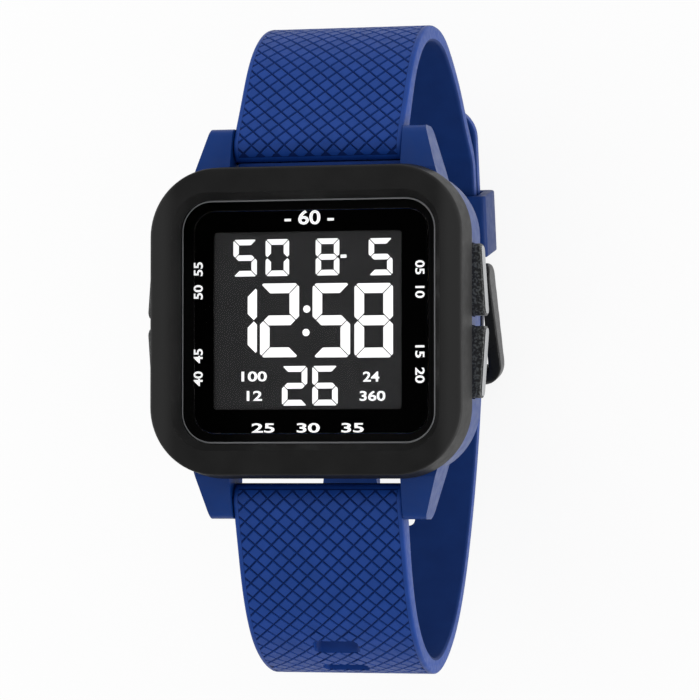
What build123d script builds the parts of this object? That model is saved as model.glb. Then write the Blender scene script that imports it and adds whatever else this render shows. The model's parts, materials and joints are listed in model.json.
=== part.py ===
"""Square digital sports watch on a buckled rubber strap, every separate piece as its own solid.

Millimetres, +Z out of the dial, +Y towards the twelve o'clock lugs, +X towards three o'clock.
The origin is the centre of the case back's outer face, the side that lies on the wrist.
The strap is closed in a loop below the case, so the loop lies in the YZ plane.
"""
import os
from math import cos, radians, sin

from build123d import *

os.makedirs("parts", exist_ok=True)

# Case: a block with rounded corners, open above for the display and below for the module
case_width = 40.4
case_length = 38.6
case_corner = 8.7
case_bottom_z = 0.5
case_edge_break = 0.8
end_wall_thickness = 3.8
cavity_corner = 5.0
end_block_width = 26.0
end_block_overhang = 0.15
end_block_bottom_step = 0.9
end_block_top_step = 0.6
crystal_ledge_thickness = 0.8
side_ledge_width = 1.4
end_ledge_width = 1.5
dial_opening_corner = 2.6
cut_overrun = 1.0
seat_gap = 0.05
running_gap = 0.05

# Bezel, crystal and its gasket
bezel_side_overhang = 0.3
bezel_end_overhang = 0.4
bezel_height = 4.2
bezel_face_chamfer = 0.9
bezel_inner_land = 0.4
bezel_outer_round = 0.5
bezel_draft_angle = 6.0
crystal_seat_width = 1.3
crystal_thickness = 1.5
crystal_edge_break = 0.2
crystal_gasket_height = 0.9
crystal_gasket_inset = 0.1

# Lugs and spring bars
strap_width = 22.0
lug_side_gap = 0.1
lug_root_depth = 2.3
lug_root_thickness = 5.2
lug_shoulder_overhang = 0.1
lug_tip_thickness = 2.9
lug_tip_past_bar = 2.3
lug_tip_above_bar = 2.1
lug_tip_below_bar = 2.2
lug_tip_round = 1.3
spring_bar_past_case = 3.2
spring_bar_z = 3.2
bar_barrel_radius = 0.75
bar_barrel_bore_radius = 0.48
bar_barrel_end_gap = 0.4
bar_web_thickness = 1.0
bar_tip_nose_radius = 0.36
bar_tip_shoulder_radius = 0.43
bar_tip_shoulder_length = 3.0
bar_tip_engagement = 1.1
bar_spring_wire = 0.14
bar_spring_turns = 9
bar_lip_thickness = 0.1

# Case back, its gasket and screws
back_side_margin = 1.7
back_end_margin = 1.8
back_corner = 4.0
back_thickness = 1.2
back_edge_break = 0.3
back_gasket_width = 0.5
back_gasket_height = 0.5
back_gasket_offset = 0.1
back_screw_side_inset = 0.6
back_screw_end_inset = 0.5
back_screw_head_radius = 1.0
back_screw_head_height = 0.6
back_screw_shank_radius = 0.45
back_screw_length = 3.6
back_screw_slot_width = 0.3
back_screw_slot_depth = 0.25

# Module: battery, board, display and what carries them
module_side_gap = 2.1
module_end_gap = 1.3
module_corner = 3.0
holder_rim_width = 4.2
battery_height = 2.5
battery_edge_round = 0.3
battery_gap = 0.2
battery_top_gap = 0.1
battery_clip_thickness = 0.2
battery_clip_width = 3.0
battery_clip_foot_gap = 2.2
board_thickness = 0.7
component_room = 1.35
chip_side = 7.0
chip_thickness = 0.8
quartz_radius = 0.6
quartz_length = 5.0
quartz_inset = 5.9
piezo_radius = 4.6
piezo_thickness = 0.25
piezo_inset = 6.2
buzzer_spring_inset = 3.6
buzzer_spring_radius = 0.6
buzzer_spring_wire = 0.2
buzzer_spring_turns = 4
display_frame_side_gap = 0.7
display_frame_end_gap = 0.3
display_frame_corner = 2.2
lcd_border = 0.95
lcd_thickness = 1.1
lcd_top_gap = 0.15
backlight_side_inset = 0.7
backlight_end_gap = 0.6
backlight_thickness = 0.6
connector_side_inset = 1.7
connector_end_inset = 1.2
connector_depth = 1.4
mask_thickness = 0.3
mask_side_border = 2.8
mask_end_border = 2.9
window_corner = 0.5

# Side buttons: four alike, two on each side
button_spacing = 1.3
button_z = 5.3
button_length = 9.0
button_height = 2.5
button_round = 0.7
button_proud = 1.7
button_slant = 0.6
button_recessed = 0.9
button_travel = 0.8
button_end_gap = 0.1
button_side_gap = 0.12
trim_thickness = 0.35
trim_border = 0.25
trim_inset = 0.25
cap_edge_round = 0.2
stem_radius = 0.7
stem_socket_depth = 0.5
stem_guide_length = 0.55
spring_pocket_radius = 1.2
spring_pocket_depth = 0.8
button_spring_wire = 0.2
button_spring_radius = 1.05
button_spring_turns = 2.5
gland_radius = 1.05
gland_depth = 0.55
seal_wire_radius = 0.155
clip_radius = 1.3
clip_thickness = 0.3
clip_groove_depth = 0.2
contact_thickness = 0.2
contact_width = 2.4
contact_height = 1.8

# Loop of the strap, as the outer line of each half in the YZ plane
strap_root_thickness = 3.4
strap_thickness = 2.1
strap_knuckle_radius = 2.2
strap_tail_width = 21.3
upper_reach_past_bar = 17.2
lower_reach_past_bar = 22.7
loop_depth = 46.8
run_angle = 12.0
pin_y = 8.0
pin_z = -42.6
pin_radius = 0.8
pin_knuckle_radius = 1.7
layer_gap = 0.4
straight_run_length = 14.8
tail_length = 23.6
tail_corner = 4.5
slot_width = 6.0
slot_length = 2.6
slot_pitch = 6.23
slots_before = 12
slots_after = 2
slot_round = 0.5
slot_along = 5.0
tail_half_share = 0.6
bisection_steps = 40
upper_root_angle = 29.0
lower_root_angle = 19.0
taper_start_z = -4.0
taper_end_z = -25.0
root_thickness_share = 0.3
inner_line_stations = 16

# Keeper that holds the tail down, a ring round both layers
keeper_start = 3.1
keeper_length = 8.5
keeper_wall = 1.1
keeper_side_wall = 1.5
keeper_gap = 0.25
keeper_round = 0.8

# Buckle: frame with two arms and a bar, tongue and pin
frame_arm_thickness = 2.0
frame_arm_taper = 0.8
frame_arm_gap = 0.7
frame_pin_inset = 0.2
frame_pivot_radius = 2.1
frame_bar_radius = 1.45
frame_bar_along = -13.9
frame_bar_out = 2.0
frame_bar_corner = 3.0
frame_pivot_corner = 0.8
tongue_width = 5.0
tongue_thickness = 1.1
tongue_slot_gap = 0.3
tongue_knuckle_radius = 1.5
tongue_leg_along = 4.6
tongue_leg_lean = 0.6
tongue_below_tail = 0.3
tongue_tip_overhang = 1.4
tongue_rest_gap = 0.05
bar_notch_depth = 0.95

# Walls and openings of the case, worked out from the sizes above
case_side_x = case_width / 2
case_end_y = case_length / 2
recess_depth = button_recessed + button_travel + button_end_gap
side_wall_thickness = recess_depth + spring_pocket_depth + gland_depth + stem_guide_length
cavity_width = case_width - 2 * side_wall_thickness
cavity_length = case_length - 2 * end_wall_thickness
cavity_side_x = cavity_width / 2
dial_opening_width = cavity_width - 2 * side_ledge_width
dial_opening_length = cavity_length - 2 * end_ledge_width
crystal_width = dial_opening_width + 2 * crystal_seat_width
crystal_length = dial_opening_length + 2 * crystal_seat_width
crystal_corner = dial_opening_corner + crystal_seat_width
crystal_gasket_width = crystal_seat_width - crystal_gasket_inset
bezel_width = case_width + 2 * bezel_side_overhang
bezel_length = case_length + 2 * bezel_end_overhang
bezel_corner = case_corner + bezel_side_overhang
back_width = cavity_width + 2 * back_side_margin
back_length = cavity_length + 2 * back_end_margin
back_screw_x = cavity_width / 2 - back_screw_side_inset
back_screw_y = cavity_length / 2 - back_screw_end_inset

# Places of the lugs, bars and buttons
spring_bar_y = case_end_y + spring_bar_past_case
lug_inner_x = strap_width / 2 + lug_side_gap
lug_root_y = case_end_y - lug_root_depth
lug_shoulder_y = case_end_y + lug_shoulder_overhang
lug_tip_y = spring_bar_y + lug_tip_past_bar
lug_top_tip_z = spring_bar_z + lug_tip_above_bar
lug_bottom_tip_z = spring_bar_z - lug_tip_below_bar
upper_reach = spring_bar_y + upper_reach_past_bar
lower_reach = spring_bar_y + lower_reach_past_bar
button_y = (button_length + button_spacing) / 2
button_sides = {"start": (1, 1), "reset": (1, -1), "light": (-1, 1), "mode": (-1, -1)}

# Module's plan sizes
module_width = cavity_width - 2 * module_side_gap
module_length = cavity_length - 2 * module_end_gap
module_reach = min(module_width, module_length) / 2
battery_radius = module_reach - holder_rim_width
battery_clip_foot_offset = battery_radius + battery_clip_foot_gap
piezo_offset = module_reach - piezo_inset
buzzer_spring_offset = module_reach - buzzer_spring_inset
quartz_x = module_width / 2 - quartz_inset
display_frame_width = dial_opening_width - 2 * display_frame_side_gap
display_frame_length = dial_opening_length - 2 * display_frame_end_gap
mask_width = dial_opening_width - 2 * seat_gap
mask_length = dial_opening_length - 2 * seat_gap
window_width = mask_width - 2 * mask_side_border
window_length = mask_length - 2 * mask_end_border
lcd_width = window_width + 2 * lcd_border
lcd_length = window_length + 2 * lcd_border
backlight_width = lcd_width - 2 * backlight_side_inset
connector_width = lcd_width - 2 * connector_side_inset
connector_y = lcd_length / 2 - connector_end_inset
backlight_length = 2 * connector_y - connector_depth - 2 * backlight_end_gap

# Heights, stacked from the case back up to the bezel
holder_bottom_z = back_thickness + piezo_thickness + seat_gap
battery_bottom_z = holder_bottom_z + battery_clip_thickness
board_bottom_z = battery_bottom_z + battery_height + battery_top_gap
board_top_z = board_bottom_z + board_thickness
lcd_bottom_z = board_top_z + component_room + backlight_thickness
mask_bottom_z = lcd_bottom_z + lcd_thickness + lcd_top_gap
crystal_bottom_z = mask_bottom_z + mask_thickness
crystal_top_z = crystal_bottom_z + crystal_thickness
case_top_z = crystal_bottom_z - crystal_gasket_height
bezel_top_z = case_top_z + bezel_height


def run_point(along, out):
    """Point (y, z) of the buckle's own frame: along the flat run from the pin, out from the wrist."""
    turn = radians(run_angle)
    return (pin_y + along * cos(turn) + out * sin(turn), pin_z + along * sin(turn) - out * cos(turn))


def run_plane(x=0.0):
    """Plane across the buckle at x, whose own X runs along the flat run and own Y out from the wrist."""
    y, z = run_point(0, 0)
    turn = radians(run_angle)
    return Plane(origin=(x, y, z), x_dir=(0, cos(turn), sin(turn)), z_dir=(-1, 0, 0))


def save(name, builder):
    """Give the finished piece its name and write it."""
    builder.part.label = name
    export_step(builder.part, "parts/" + name + ".step")


# Case body with its four lugs
lug_profile = [
    (lug_root_y, case_bottom_z),
    (lug_root_y, case_top_z - case_edge_break),
    (lug_shoulder_y, case_top_z - case_edge_break),
    (lug_tip_y, lug_top_tip_z),
    (lug_tip_y, lug_bottom_tip_z),
    (lug_shoulder_y, case_bottom_z),
]
lug_plan = [
    (lug_inner_x, lug_root_y),
    (lug_inner_x, lug_tip_y),
    (lug_inner_x + lug_tip_thickness, lug_tip_y),
    (lug_inner_x + lug_root_thickness, lug_root_y),
]

with BuildPart() as lug_shape:
    with BuildSketch(Plane.XY):
        with BuildLine():
            Polyline(*lug_plan, close=True)
        make_face()
    extrude(amount=case_top_z)
    with BuildSketch(Plane.YZ):
        with BuildLine():
            Polyline(*lug_profile, close=True)
        make_face()
        fillet(vertices().sort_by(Axis.X)[-2:], radius=lug_tip_round)
    extrude(amount=case_width, mode=Mode.INTERSECT)
    with Locations((lug_inner_x, spring_bar_y, spring_bar_z)):
        Cylinder(
            bar_tip_nose_radius + running_gap,
            2 * (bar_tip_engagement + bar_tip_nose_radius),
            rotation=(0, 90, 0),
            mode=Mode.SUBTRACT,
        )

with BuildPart() as case_body:
    with BuildSketch(Plane.XY.offset(case_bottom_z)):
        RectangleRounded(case_width, case_length, case_corner)
    extrude(amount=case_top_z - case_bottom_z)
    chamfer(faces().sort_by(Axis.Z)[0].edges(), length=case_edge_break)
    end_block_bottom_z = case_bottom_z + end_block_bottom_step
    with BuildSketch(Plane.XY.offset(end_block_bottom_z)):
        Rectangle(end_block_width, case_length + 2 * end_block_overhang)
    extrude(amount=case_top_z - end_block_top_step - end_block_bottom_z)
    add(lug_shape.part)
    add(lug_shape.part.mirror(Plane.YZ))
    add(lug_shape.part.mirror(Plane.XZ))
    add(lug_shape.part.mirror(Plane.XZ).mirror(Plane.YZ))
    # room for the module, and the opening that shows the display
    with BuildSketch(Plane.XY.offset(back_thickness)):
        RectangleRounded(cavity_width, cavity_length, cavity_corner)
    extrude(amount=case_top_z - crystal_ledge_thickness - back_thickness, mode=Mode.SUBTRACT)
    with BuildSketch(Plane.XY.offset(back_thickness)):
        RectangleRounded(dial_opening_width, dial_opening_length, dial_opening_corner)
    extrude(amount=case_top_z, mode=Mode.SUBTRACT)
    # seat of the case back, with its gasket groove and screw holes
    with BuildSketch(Plane.XY):
        RectangleRounded(back_width + 2 * seat_gap, back_length + 2 * seat_gap, back_corner + seat_gap)
    extrude(amount=back_thickness, mode=Mode.SUBTRACT)
    groove_inner = 2 * back_gasket_offset
    groove_outer = groove_inner + 2 * back_gasket_width
    with BuildSketch(Plane.XY.offset(back_thickness)):
        RectangleRounded(
            cavity_width + groove_outer, cavity_length + groove_outer, cavity_corner + groove_outer / 2
        )
        RectangleRounded(
            cavity_width + groove_inner,
            cavity_length + groove_inner,
            cavity_corner + groove_inner / 2,
            mode=Mode.SUBTRACT,
        )
    extrude(amount=back_gasket_height, mode=Mode.SUBTRACT)
    with BuildSketch(Plane.XY.offset(back_thickness)):
        with GridLocations(2 * back_screw_x, 2 * back_screw_y, 2, 2):
            Circle(back_screw_shank_radius)
    extrude(amount=back_screw_length - back_thickness, mode=Mode.SUBTRACT)
    # pockets of the four buttons, each with its spring pocket, seal gland and stem bore
    for side, end in button_sides.values():
        outward = Plane(
            origin=(side * case_side_x, end * button_y, button_z),
            x_dir=(0, 1, 0),
            z_dir=(side, 0, 0),
        )
        with BuildSketch(outward):
            RectangleRounded(
                button_length + 2 * button_side_gap, button_height + 2 * button_side_gap, button_round
            )
        extrude(amount=-recess_depth, mode=Mode.SUBTRACT)
        for radius, depth in (
            (spring_pocket_radius, recess_depth + spring_pocket_depth),
            (gland_radius, recess_depth + spring_pocket_depth + gland_depth),
            (stem_radius + running_gap, side_wall_thickness + cut_overrun),
        ):
            with BuildSketch(outward):
                Circle(radius)
            extrude(amount=-depth, mode=Mode.SUBTRACT)
save("case_body", case_body)

# Bezel: a ring over the case that frames the crystal
with BuildPart() as bezel:
    with BuildSketch(Plane.XY.offset(case_top_z)):
        RectangleRounded(bezel_width, bezel_length, bezel_corner)
    extrude(amount=bezel_height, taper=bezel_draft_angle)
    fillet(faces().sort_by(Axis.Z)[-1].edges(), radius=bezel_outer_round)
    with BuildSketch(Plane.XY.offset(case_top_z)):
        RectangleRounded(
            crystal_width + 2 * seat_gap, crystal_length + 2 * seat_gap, crystal_corner + seat_gap
        )
    extrude(amount=bezel_height, mode=Mode.SUBTRACT)
    inner_land_z = crystal_top_z + bezel_inner_land
    with BuildSketch(Plane.XY.offset(inner_land_z)):
        RectangleRounded(
            crystal_width + 2 * seat_gap, crystal_length + 2 * seat_gap, crystal_corner + seat_gap
        )
    with BuildSketch(Plane.XY.offset(bezel_top_z)):
        RectangleRounded(
            crystal_width + 2 * bezel_face_chamfer,
            crystal_length + 2 * bezel_face_chamfer,
            crystal_corner + bezel_face_chamfer,
        )
    loft(mode=Mode.SUBTRACT)
save("bezel", bezel)

with BuildPart() as crystal:
    with BuildSketch(Plane.XY.offset(crystal_bottom_z)):
        RectangleRounded(crystal_width, crystal_length, crystal_corner)
    extrude(amount=crystal_thickness)
    chamfer(faces().sort_by(Axis.Z)[-1].edges(), length=crystal_edge_break)
save("crystal", crystal)

with BuildPart() as crystal_gasket:
    with BuildSketch(Plane.XY.offset(case_top_z)):
        RectangleRounded(crystal_width, crystal_length, crystal_corner)
        RectangleRounded(
            crystal_width - 2 * crystal_gasket_width,
            crystal_length - 2 * crystal_gasket_width,
            crystal_corner - crystal_gasket_width,
            mode=Mode.SUBTRACT,
        )
    extrude(amount=crystal_gasket_height)
save("crystal_gasket", crystal_gasket)

# Case back, with its gasket and four screws
with BuildPart() as case_back:
    with BuildSketch(Plane.XY):
        RectangleRounded(back_width, back_length, back_corner)
    extrude(amount=back_thickness)
    chamfer(faces().sort_by(Axis.Z)[0].edges(), length=back_edge_break)
    with BuildSketch(Plane.XY):
        with GridLocations(2 * back_screw_x, 2 * back_screw_y, 2, 2):
            Circle(back_screw_head_radius + seat_gap)
    extrude(amount=back_screw_head_height, mode=Mode.SUBTRACT)
    with BuildSketch(Plane.XY):
        with GridLocations(2 * back_screw_x, 2 * back_screw_y, 2, 2):
            Circle(back_screw_shank_radius + seat_gap)
    extrude(amount=back_thickness, mode=Mode.SUBTRACT)
save("case_back", case_back)

with BuildPart() as case_back_gasket:
    with BuildSketch(Plane.XY.offset(back_thickness)):
        RectangleRounded(
            cavity_width + groove_outer, cavity_length + groove_outer, cavity_corner + groove_outer / 2
        )
        RectangleRounded(
            cavity_width + groove_inner,
            cavity_length + groove_inner,
            cavity_corner + groove_inner / 2,
            mode=Mode.SUBTRACT,
        )
    extrude(amount=back_gasket_height)
save("case_back_gasket", case_back_gasket)

with BuildPart() as case_back_screws:
    with BuildSketch(Plane.XY):
        with GridLocations(2 * back_screw_x, 2 * back_screw_y, 2, 2):
            Circle(back_screw_head_radius)
    extrude(amount=back_screw_head_height)
    with BuildSketch(Plane.XY):
        with GridLocations(2 * back_screw_x, 2 * back_screw_y, 2, 2):
            Circle(back_screw_shank_radius)
    extrude(amount=back_screw_length)
    with BuildSketch(Plane.XY):
        with GridLocations(2 * back_screw_x, 2 * back_screw_y, 2, 2):
            Rectangle(2 * back_screw_head_radius, back_screw_slot_width)
            Rectangle(back_screw_slot_width, 2 * back_screw_head_radius)
    extrude(amount=back_screw_slot_depth, mode=Mode.SUBTRACT)
save("case_back_screws", case_back_screws)

# Module inside the case, from the battery up to the mask round the display
with BuildPart() as battery:
    with BuildSketch(Plane.XY.offset(battery_bottom_z)):
        Circle(battery_radius)
    extrude(amount=battery_height)
    fillet(faces().sort_by(Axis.Z)[0].edges(), radius=battery_edge_round)
save("battery", battery)

with BuildPart() as battery_holder:
    with BuildSketch(Plane.XY.offset(holder_bottom_z)):
        RectangleRounded(module_width, module_length, module_corner)
        Circle(battery_radius + battery_gap, mode=Mode.SUBTRACT)
        Rectangle(
            battery_clip_width + 2 * seat_gap,
            2 * (battery_clip_foot_offset + battery_clip_thickness),
            mode=Mode.SUBTRACT,
        )
        with Locations((buzzer_spring_offset, buzzer_spring_offset)):
            Circle(buzzer_spring_radius + buzzer_spring_wire, mode=Mode.SUBTRACT)
    extrude(amount=board_bottom_z - holder_bottom_z)
save("battery_holder", battery_holder)

with BuildPart() as battery_clip:
    clip_length = 2 * battery_clip_foot_offset + battery_clip_thickness
    with BuildSketch(Plane.XY.offset(battery_bottom_z - battery_clip_thickness)):
        Rectangle(battery_clip_width, clip_length)
    extrude(amount=board_bottom_z - battery_bottom_z + battery_clip_thickness)
    with BuildSketch(Plane.XY.offset(battery_bottom_z)):
        Rectangle(battery_clip_width, clip_length - 2 * battery_clip_thickness)
    extrude(amount=board_bottom_z, mode=Mode.SUBTRACT)
save("battery_clip", battery_clip)

with BuildPart() as circuit_board:
    with BuildSketch(Plane.XY.offset(board_bottom_z)):
        RectangleRounded(module_width, module_length, module_corner)
    extrude(amount=board_thickness)
save("circuit_board", circuit_board)

with BuildPart() as controller_chip:
    with BuildSketch(Plane.XY.offset(board_top_z)):
        Rectangle(chip_side, chip_side)
    extrude(amount=chip_thickness)
save("controller_chip", controller_chip)

with BuildPart() as quartz_resonator:
    with Locations((quartz_x, 0, board_top_z + quartz_radius)):
        Cylinder(quartz_radius, quartz_length, rotation=(90, 0, 0))
save("quartz_resonator", quartz_resonator)

with BuildPart() as switch_contacts:
    contact_x = module_width / 2 + contact_thickness / 2
    with Locations((0, 0, board_bottom_z + contact_height / 2)):
        with GridLocations(2 * contact_x, 2 * button_y, 2, 2):
            Box(contact_thickness, contact_width, contact_height)
save("switch_contacts", switch_contacts)

with BuildPart() as display_frame:
    with BuildSketch(Plane.XY.offset(board_top_z)):
        RectangleRounded(display_frame_width, display_frame_length, display_frame_corner)
        Rectangle(
            backlight_width + 2 * seat_gap,
            2 * connector_y + connector_depth + 2 * seat_gap,
            mode=Mode.SUBTRACT,
        )
    extrude(amount=mask_bottom_z - board_top_z)
    with BuildSketch(Plane.XY.offset(lcd_bottom_z)):
        Rectangle(lcd_width + 2 * seat_gap, lcd_length + 2 * seat_gap)
    extrude(amount=mask_bottom_z, mode=Mode.SUBTRACT)
save("display_frame", display_frame)

with BuildPart() as backlight_panel:
    with BuildSketch(Plane.XY.offset(lcd_bottom_z - backlight_thickness)):
        Rectangle(backlight_width, backlight_length)
    extrude(amount=backlight_thickness)
save("backlight_panel", backlight_panel)

with BuildPart() as connector_strips:
    with BuildSketch(Plane.XY.offset(board_top_z)):
        with Locations((0, connector_y), (0, -connector_y)):
            Rectangle(connector_width, connector_depth)
    extrude(amount=lcd_bottom_z - board_top_z)
save("connector_strips", connector_strips)

with BuildPart() as lcd_panel:
    with BuildSketch(Plane.XY.offset(lcd_bottom_z)):
        Rectangle(lcd_width, lcd_length)
    extrude(amount=lcd_thickness)
save("lcd_panel", lcd_panel)

with BuildPart() as dial_mask:
    with BuildSketch(Plane.XY.offset(mask_bottom_z)):
        RectangleRounded(mask_width, mask_length, dial_opening_corner)
        RectangleRounded(window_width, window_length, window_corner, mode=Mode.SUBTRACT)
    extrude(amount=mask_thickness)
save("dial_mask", dial_mask)

with BuildPart() as piezo_disc:
    with Locations((piezo_offset, piezo_offset, back_thickness + piezo_thickness / 2)):
        Cylinder(piezo_radius, piezo_thickness)
save("piezo_disc", piezo_disc)


def coil(start, direction, length, radius, wire, turns):
    """Compression spring between two flat faces, as a builder that holds its one solid."""
    axis = Vector(*direction)
    with BuildPart() as spring:
        with BuildLine() as path:
            Helix(
                pitch=(length - wire) / turns,
                height=length - wire,
                radius=radius,
                center=Vector(*start) + axis * (wire / 2),
                direction=axis,
            )
        with BuildSketch(Plane(path.line @ 0, z_dir=path.line % 0)):
            Circle(wire / 2)
        sweep(is_frenet=True)
    return spring


buzzer_spring_start_z = back_thickness + piezo_thickness
save(
    "buzzer_spring",
    coil(
        (buzzer_spring_offset, buzzer_spring_offset, buzzer_spring_start_z),
        (0, 0, 1),
        board_bottom_z - buzzer_spring_start_z,
        buzzer_spring_radius,
        buzzer_spring_wire,
        buzzer_spring_turns,
    ),
)

# Buttons: cap, outer trim plate, stem, retaining clip and return spring, four times
cap_inner_x = case_side_x - button_recessed
cap_outer_x = case_side_x + button_proud
stem_inner_x = module_width / 2 + contact_thickness + button_travel + seat_gap
pocket_floor_x = case_side_x - recess_depth - spring_pocket_depth
clip_outer_x = cavity_side_x - seat_gap

for name, (side, end) in button_sides.items():

    def outward_plane(distance):
        """Plane square to the button's travel, facing out, at a distance from the watch's middle."""
        return Plane(origin=(side * distance, end * button_y, button_z), x_dir=(0, 1, 0), z_dir=(side, 0, 0))

    # the outer face leans in towards the button's far end from the gap between two buttons
    outer_face = Plane(
        origin=(side * (cap_outer_x - button_slant / 2), end * button_y, button_z),
        x_dir=(-side * button_slant, end * button_length, 0),
        z_dir=(side * button_length, end * button_slant, 0),
    )

    with BuildPart() as cap:
        with BuildSketch(outward_plane(cap_inner_x)):
            RectangleRounded(button_length, button_height, button_round)
        extrude(amount=cap_outer_x - cap_inner_x)
        with BuildSketch(outer_face):
            Rectangle(2 * button_length, 2 * button_height)
        extrude(amount=button_proud, mode=Mode.SUBTRACT)
        fillet(faces().sort_by(Axis.X)[-1 if side > 0 else 0].edges(), radius=cap_edge_round)
        with BuildSketch(outer_face):
            RectangleRounded(button_length - 2 * trim_border, button_height - 2 * trim_border, button_round)
        extrude(amount=-trim_inset, mode=Mode.SUBTRACT)
        with BuildSketch(outward_plane(cap_inner_x)):
            Circle(stem_radius)
        extrude(amount=stem_socket_depth, mode=Mode.SUBTRACT)
    save(name + "_button_cap", cap)

    with BuildPart() as trim:
        with BuildSketch(outer_face.offset(-trim_inset)):
            RectangleRounded(button_length - 2 * trim_border, button_height - 2 * trim_border, button_round)
        extrude(amount=trim_thickness)
    save(name + "_button_trim", trim)

    with BuildPart() as stem:
        with BuildSketch(outward_plane(stem_inner_x)):
            Circle(stem_radius)
        extrude(amount=cap_inner_x + stem_socket_depth - stem_inner_x)
        with BuildSketch(outward_plane(clip_outer_x)):
            Circle(stem_radius)
            Circle(stem_radius - clip_groove_depth, mode=Mode.SUBTRACT)
        extrude(amount=-clip_thickness, mode=Mode.SUBTRACT)
    save(name + "_button_stem", stem)

    with BuildPart() as clip:
        with BuildSketch(outward_plane(clip_outer_x)):
            Circle(clip_radius)
            Circle(stem_radius - clip_groove_depth, mode=Mode.SUBTRACT)
            with Locations((0, -clip_radius)):
                Rectangle(stem_radius, 2 * clip_radius, mode=Mode.SUBTRACT)
        extrude(amount=-clip_thickness)
    save(name + "_button_clip", clip)

    save(
        name + "_button_spring",
        coil(
            (side * pocket_floor_x, end * button_y, button_z),
            (side, 0, 0),
            cap_inner_x - pocket_floor_x,
            button_spring_radius,
            button_spring_wire,
            button_spring_turns,
        ),
    )

with BuildPart() as button_seals:
    seal_x = pocket_floor_x - gland_depth / 2
    with Locations((0, 0, button_z)):
        with GridLocations(2 * seal_x, 2 * button_y, 2, 2):
            Torus(stem_radius + running_gap / 2 + seal_wire_radius, seal_wire_radius, rotation=(0, 90, 0))
save("button_seals", button_seals)

# Spring bars: hollow barrel, sprung tip at each end and the springs behind the tips
barrel_end_x = strap_width / 2 - bar_barrel_end_gap
tip_shoulder_x = barrel_end_x - bar_lip_thickness
tip_inner_x = tip_shoulder_x - bar_tip_shoulder_length
tip_nose_x = lug_inner_x + bar_tip_engagement

for name, end in (("upper", 1), ("lower", -1)):
    with BuildPart() as barrel:
        with Locations((0, end * spring_bar_y, spring_bar_z)):
            Cylinder(bar_barrel_radius, 2 * barrel_end_x, rotation=(0, 90, 0))
            Cylinder(
                bar_tip_nose_radius + running_gap, 2 * barrel_end_x, rotation=(0, 90, 0), mode=Mode.SUBTRACT
            )
            Cylinder(bar_barrel_bore_radius, 2 * tip_shoulder_x, rotation=(0, 90, 0), mode=Mode.SUBTRACT)
            Cylinder(bar_barrel_radius, bar_web_thickness, rotation=(0, 90, 0))
    save(name + "_spring_bar", barrel)

    for hand, side in (("right", 1), ("left", -1)):
        with BuildPart() as bar_tip:
            for radius, near, far in (
                (bar_tip_shoulder_radius, tip_inner_x, tip_shoulder_x),
                (bar_tip_nose_radius, tip_shoulder_x, tip_nose_x),
            ):
                with Locations((side * (near + far) / 2, end * spring_bar_y, spring_bar_z)):
                    Cylinder(radius, far - near, rotation=(0, 90, 0))
        save(name + "_" + hand + "_bar_tip", bar_tip)
        save(
            name + "_" + hand + "_bar_spring",
            coil(
                (side * bar_web_thickness / 2, end * spring_bar_y, spring_bar_z),
                (side, 0, 0),
                tip_inner_x - bar_web_thickness / 2,
                bar_barrel_bore_radius - bar_spring_wire / 2 - running_gap / 2,
                bar_spring_wire,
                bar_spring_turns,
            ),
        )

# Strap halves: each a band between an outer and an inner line, with a rolled end on its bar
tail_inner_out = pin_knuckle_radius + layer_gap
tail_outer_out = tail_inner_out + strap_thickness
run_direction = (cos(radians(run_angle)), sin(radians(run_angle)))
upper_outline_shares = [
    (0.700, 0.051),
    (0.824, -0.019),
    (0.917, -0.100),
    (0.980, -0.207),
    (1.000, -0.331),
    (0.980, -0.459),
    (0.919, -0.568),
    (0.821, -0.682),
    (0.700, -0.795),
]
lower_outline_shares = [
    (-0.608, 0.079),
    (-0.721, 0.038),
    (-0.836, -0.024),
    (-0.925, -0.111),
    (-0.978, -0.214),
    (-1.000, -0.331),
    (-0.976, -0.459),
    (-0.914, -0.577),
    (-0.799, -0.694),
    (-0.622, -0.803),
    (-0.440, -0.883),
]
lower_run_shares = [
    (1.228, -0.354),
    (0.618, 0.462),
]


def scaled(shares, reach):
    """Points (y, z) from shares of a half's reach and of the loop's depth."""
    return [(y_share * reach, z_share * loop_depth) for y_share, z_share in shares]


def root_point(end, root_angle):
    """Point where a half's outer line leaves the roll round its spring bar."""
    turn = radians(root_angle)
    return (
        end * (spring_bar_y + strap_knuckle_radius * sin(turn)),
        spring_bar_z + strap_knuckle_radius * cos(turn),
    )


def thickness_at(share):
    """Thickness of the band at a share of its outer line's length from the lugs."""
    fade = max(0.0, 1.0 - share / root_thickness_share)
    return strap_thickness + (strap_root_thickness - strap_thickness) * fade * fade


def inner_points(outer, end):
    """Points of the inner line, each one thickness in from the outer line."""
    points = []
    for station in range(inner_line_stations + 1):
        share = station / inner_line_stations
        here = outer @ share
        along = outer % share
        inward = Vector(along.Y, -along.X) * end
        points.append(here + inward * thickness_at(share))
    return points


root_x = strap_width / 2
tail_x = strap_tail_width / 2
band_outline = [
    (root_x, case_top_z),
    (root_x, taper_start_z),
    (tail_x, taper_end_z),
    (tail_x, -2 * loop_depth),
    (-tail_x, -2 * loop_depth),
    (-tail_x, taper_end_z),
    (-root_x, taper_start_z),
    (-root_x, case_top_z),
]
upper_turn = radians(upper_root_angle)
lower_turn = radians(lower_root_angle)

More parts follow.
